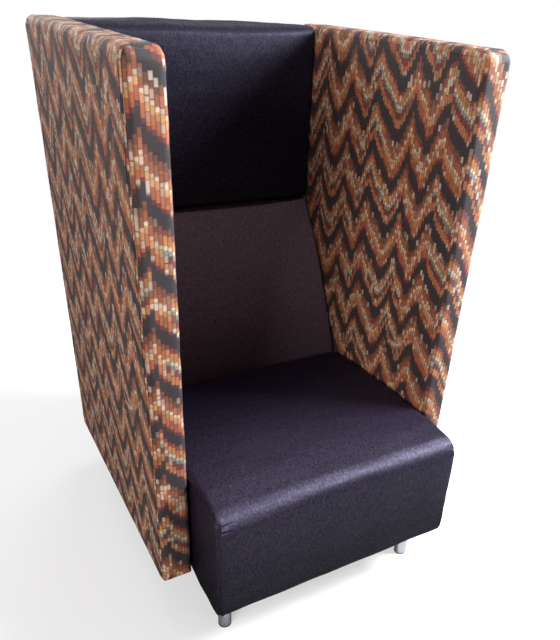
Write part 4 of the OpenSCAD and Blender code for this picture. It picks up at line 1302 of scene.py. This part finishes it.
def lining(name, rectangles, z, material, node):
    """A stretched sheet under the chair. rectangles are x0, y0, x1, y1."""
    work = bmesh.new()
    step = 9 * mm
    for x0, y0, x1, y1 in rectangles:
        xs = np.linspace(x0, x1, max(2, round((x1 - x0) / step)) + 1)
        ys = np.linspace(y0, y1, max(2, round((y1 - y0) / step)) + 1)
        for a, b in zip(xs, xs[1:]):
            for c, d in zip(ys, ys[1:]):
                corners = (a, c, z), (a, d, z), (b, d, z), (b, c, z)
                work.faces.new([work.verts.new(corner) for corner in corners])
    bmesh.ops.remove_doubles(work, verts=work.verts, dist=0.01 * mm)
    mesh = bpy.data.meshes.new(name)
    work.to_mesh(mesh)
    work.free()
    piece = add_piece(name, mesh)
    points = read_points(mesh)
    xy = points[:, :2]
    rim = np.minimum(xy - xy.min(0), xy.max(0) - xy).min(1)
    points[:, 2] += 0.25 * mm * (1 + wobble(points, 0.05, 71)) * (0.3 + bell(rim, 25 * mm))
    write_points(piece, points)
    thick = piece.modifiers.new("thick", "SOLIDIFY")
    thick.thickness = 0.8 * mm
    thick.offset = -1
    settle(piece)
    piece.data.shade_smooth()
    fit(piece, material, "lining", node)


def make_linings(material):
    """One sheet under seat and back, narrower where the seat's cloth is turned under, and one per wing."""
    half = -lining_low.x
    narrow = half - HEM_W
    front_y, middle_y, rear_y = lining_low.y, seat_high.y + 1 * mm, lining_high.y
    rectangles = [
        (-narrow, front_y, narrow, middle_y),
        (-half, middle_y, -narrow, rear_y),
        (-narrow, middle_y, narrow, rear_y),
        (narrow, middle_y, half, rear_y),
    ]
    lining("base_lining", rectangles, lining_low.z, material, "dust_cover")
    for word in ("left", "right"):
        node = f"{word}_wing_base_cloth"
        low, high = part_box(node)
        rectangles = [(low.x, low.y, high.x, high.y)]
        lining(f"{word}_wing_lining", rectangles, low.z, material, node)


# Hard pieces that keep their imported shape


def soften_edges(node):
    weld = node.modifiers.new("weld", "WELD")
    weld.merge_threshold = 0.01 * mm
    soften = node.modifiers.new("soften", "BEVEL")
    soften.width = 0.5 * mm
    soften.segments = 2
    soften.angle_limit = math.radians(40)
    soften.harden_normals = False


def dress_frame():
    """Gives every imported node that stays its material. Metal and plastic ones also get softened edges."""
    across = softwood("softwood_across", (4, 55, 55))
    lengthwise = softwood("softwood_along", (55, 4, 55))
    clear_of_painted_shade = softwood("softwood_upright", (55, 55, 4))
    chosen = {
        "timber": across,
        "plywood": plywood(),
        "hardboard": hardboard(),
        "felt": felt_grey(),
        "webbing": webbing_black(),
        "leg_metal": satin_steel(),
        "glide_plastic": glide_plastic(),
        "zinc_steel": zinc_steel(),
    }
    for part in frame["record"]["subparts"]:
        name, slot = part["node"], part["material_slot"]
        if slot not in chosen:
            continue
        material = chosen[slot]
        if "stiles" in name or "posts" in name:
            material = clear_of_painted_shade
        elif "wing_rails" in name:
            material = lengthwise
        node = frame["nodes"][name]
        node.data.materials.clear()
        node.data.materials.append(material)
        if slot in ("leg_metal", "glide_plastic", "zinc_steel"):
            soften_edges(node)


make_camera()
make_studio()
printed = flame_print()
make_seat(seat_wool())
make_lower_back(lower_back_wool())
make_upper_back(upper_back_wool())
make_rear_panel(rear_wool())
make_wing(-1, printed)
make_wing(1, printed)
make_linings(lining_cloth())
dress_frame()
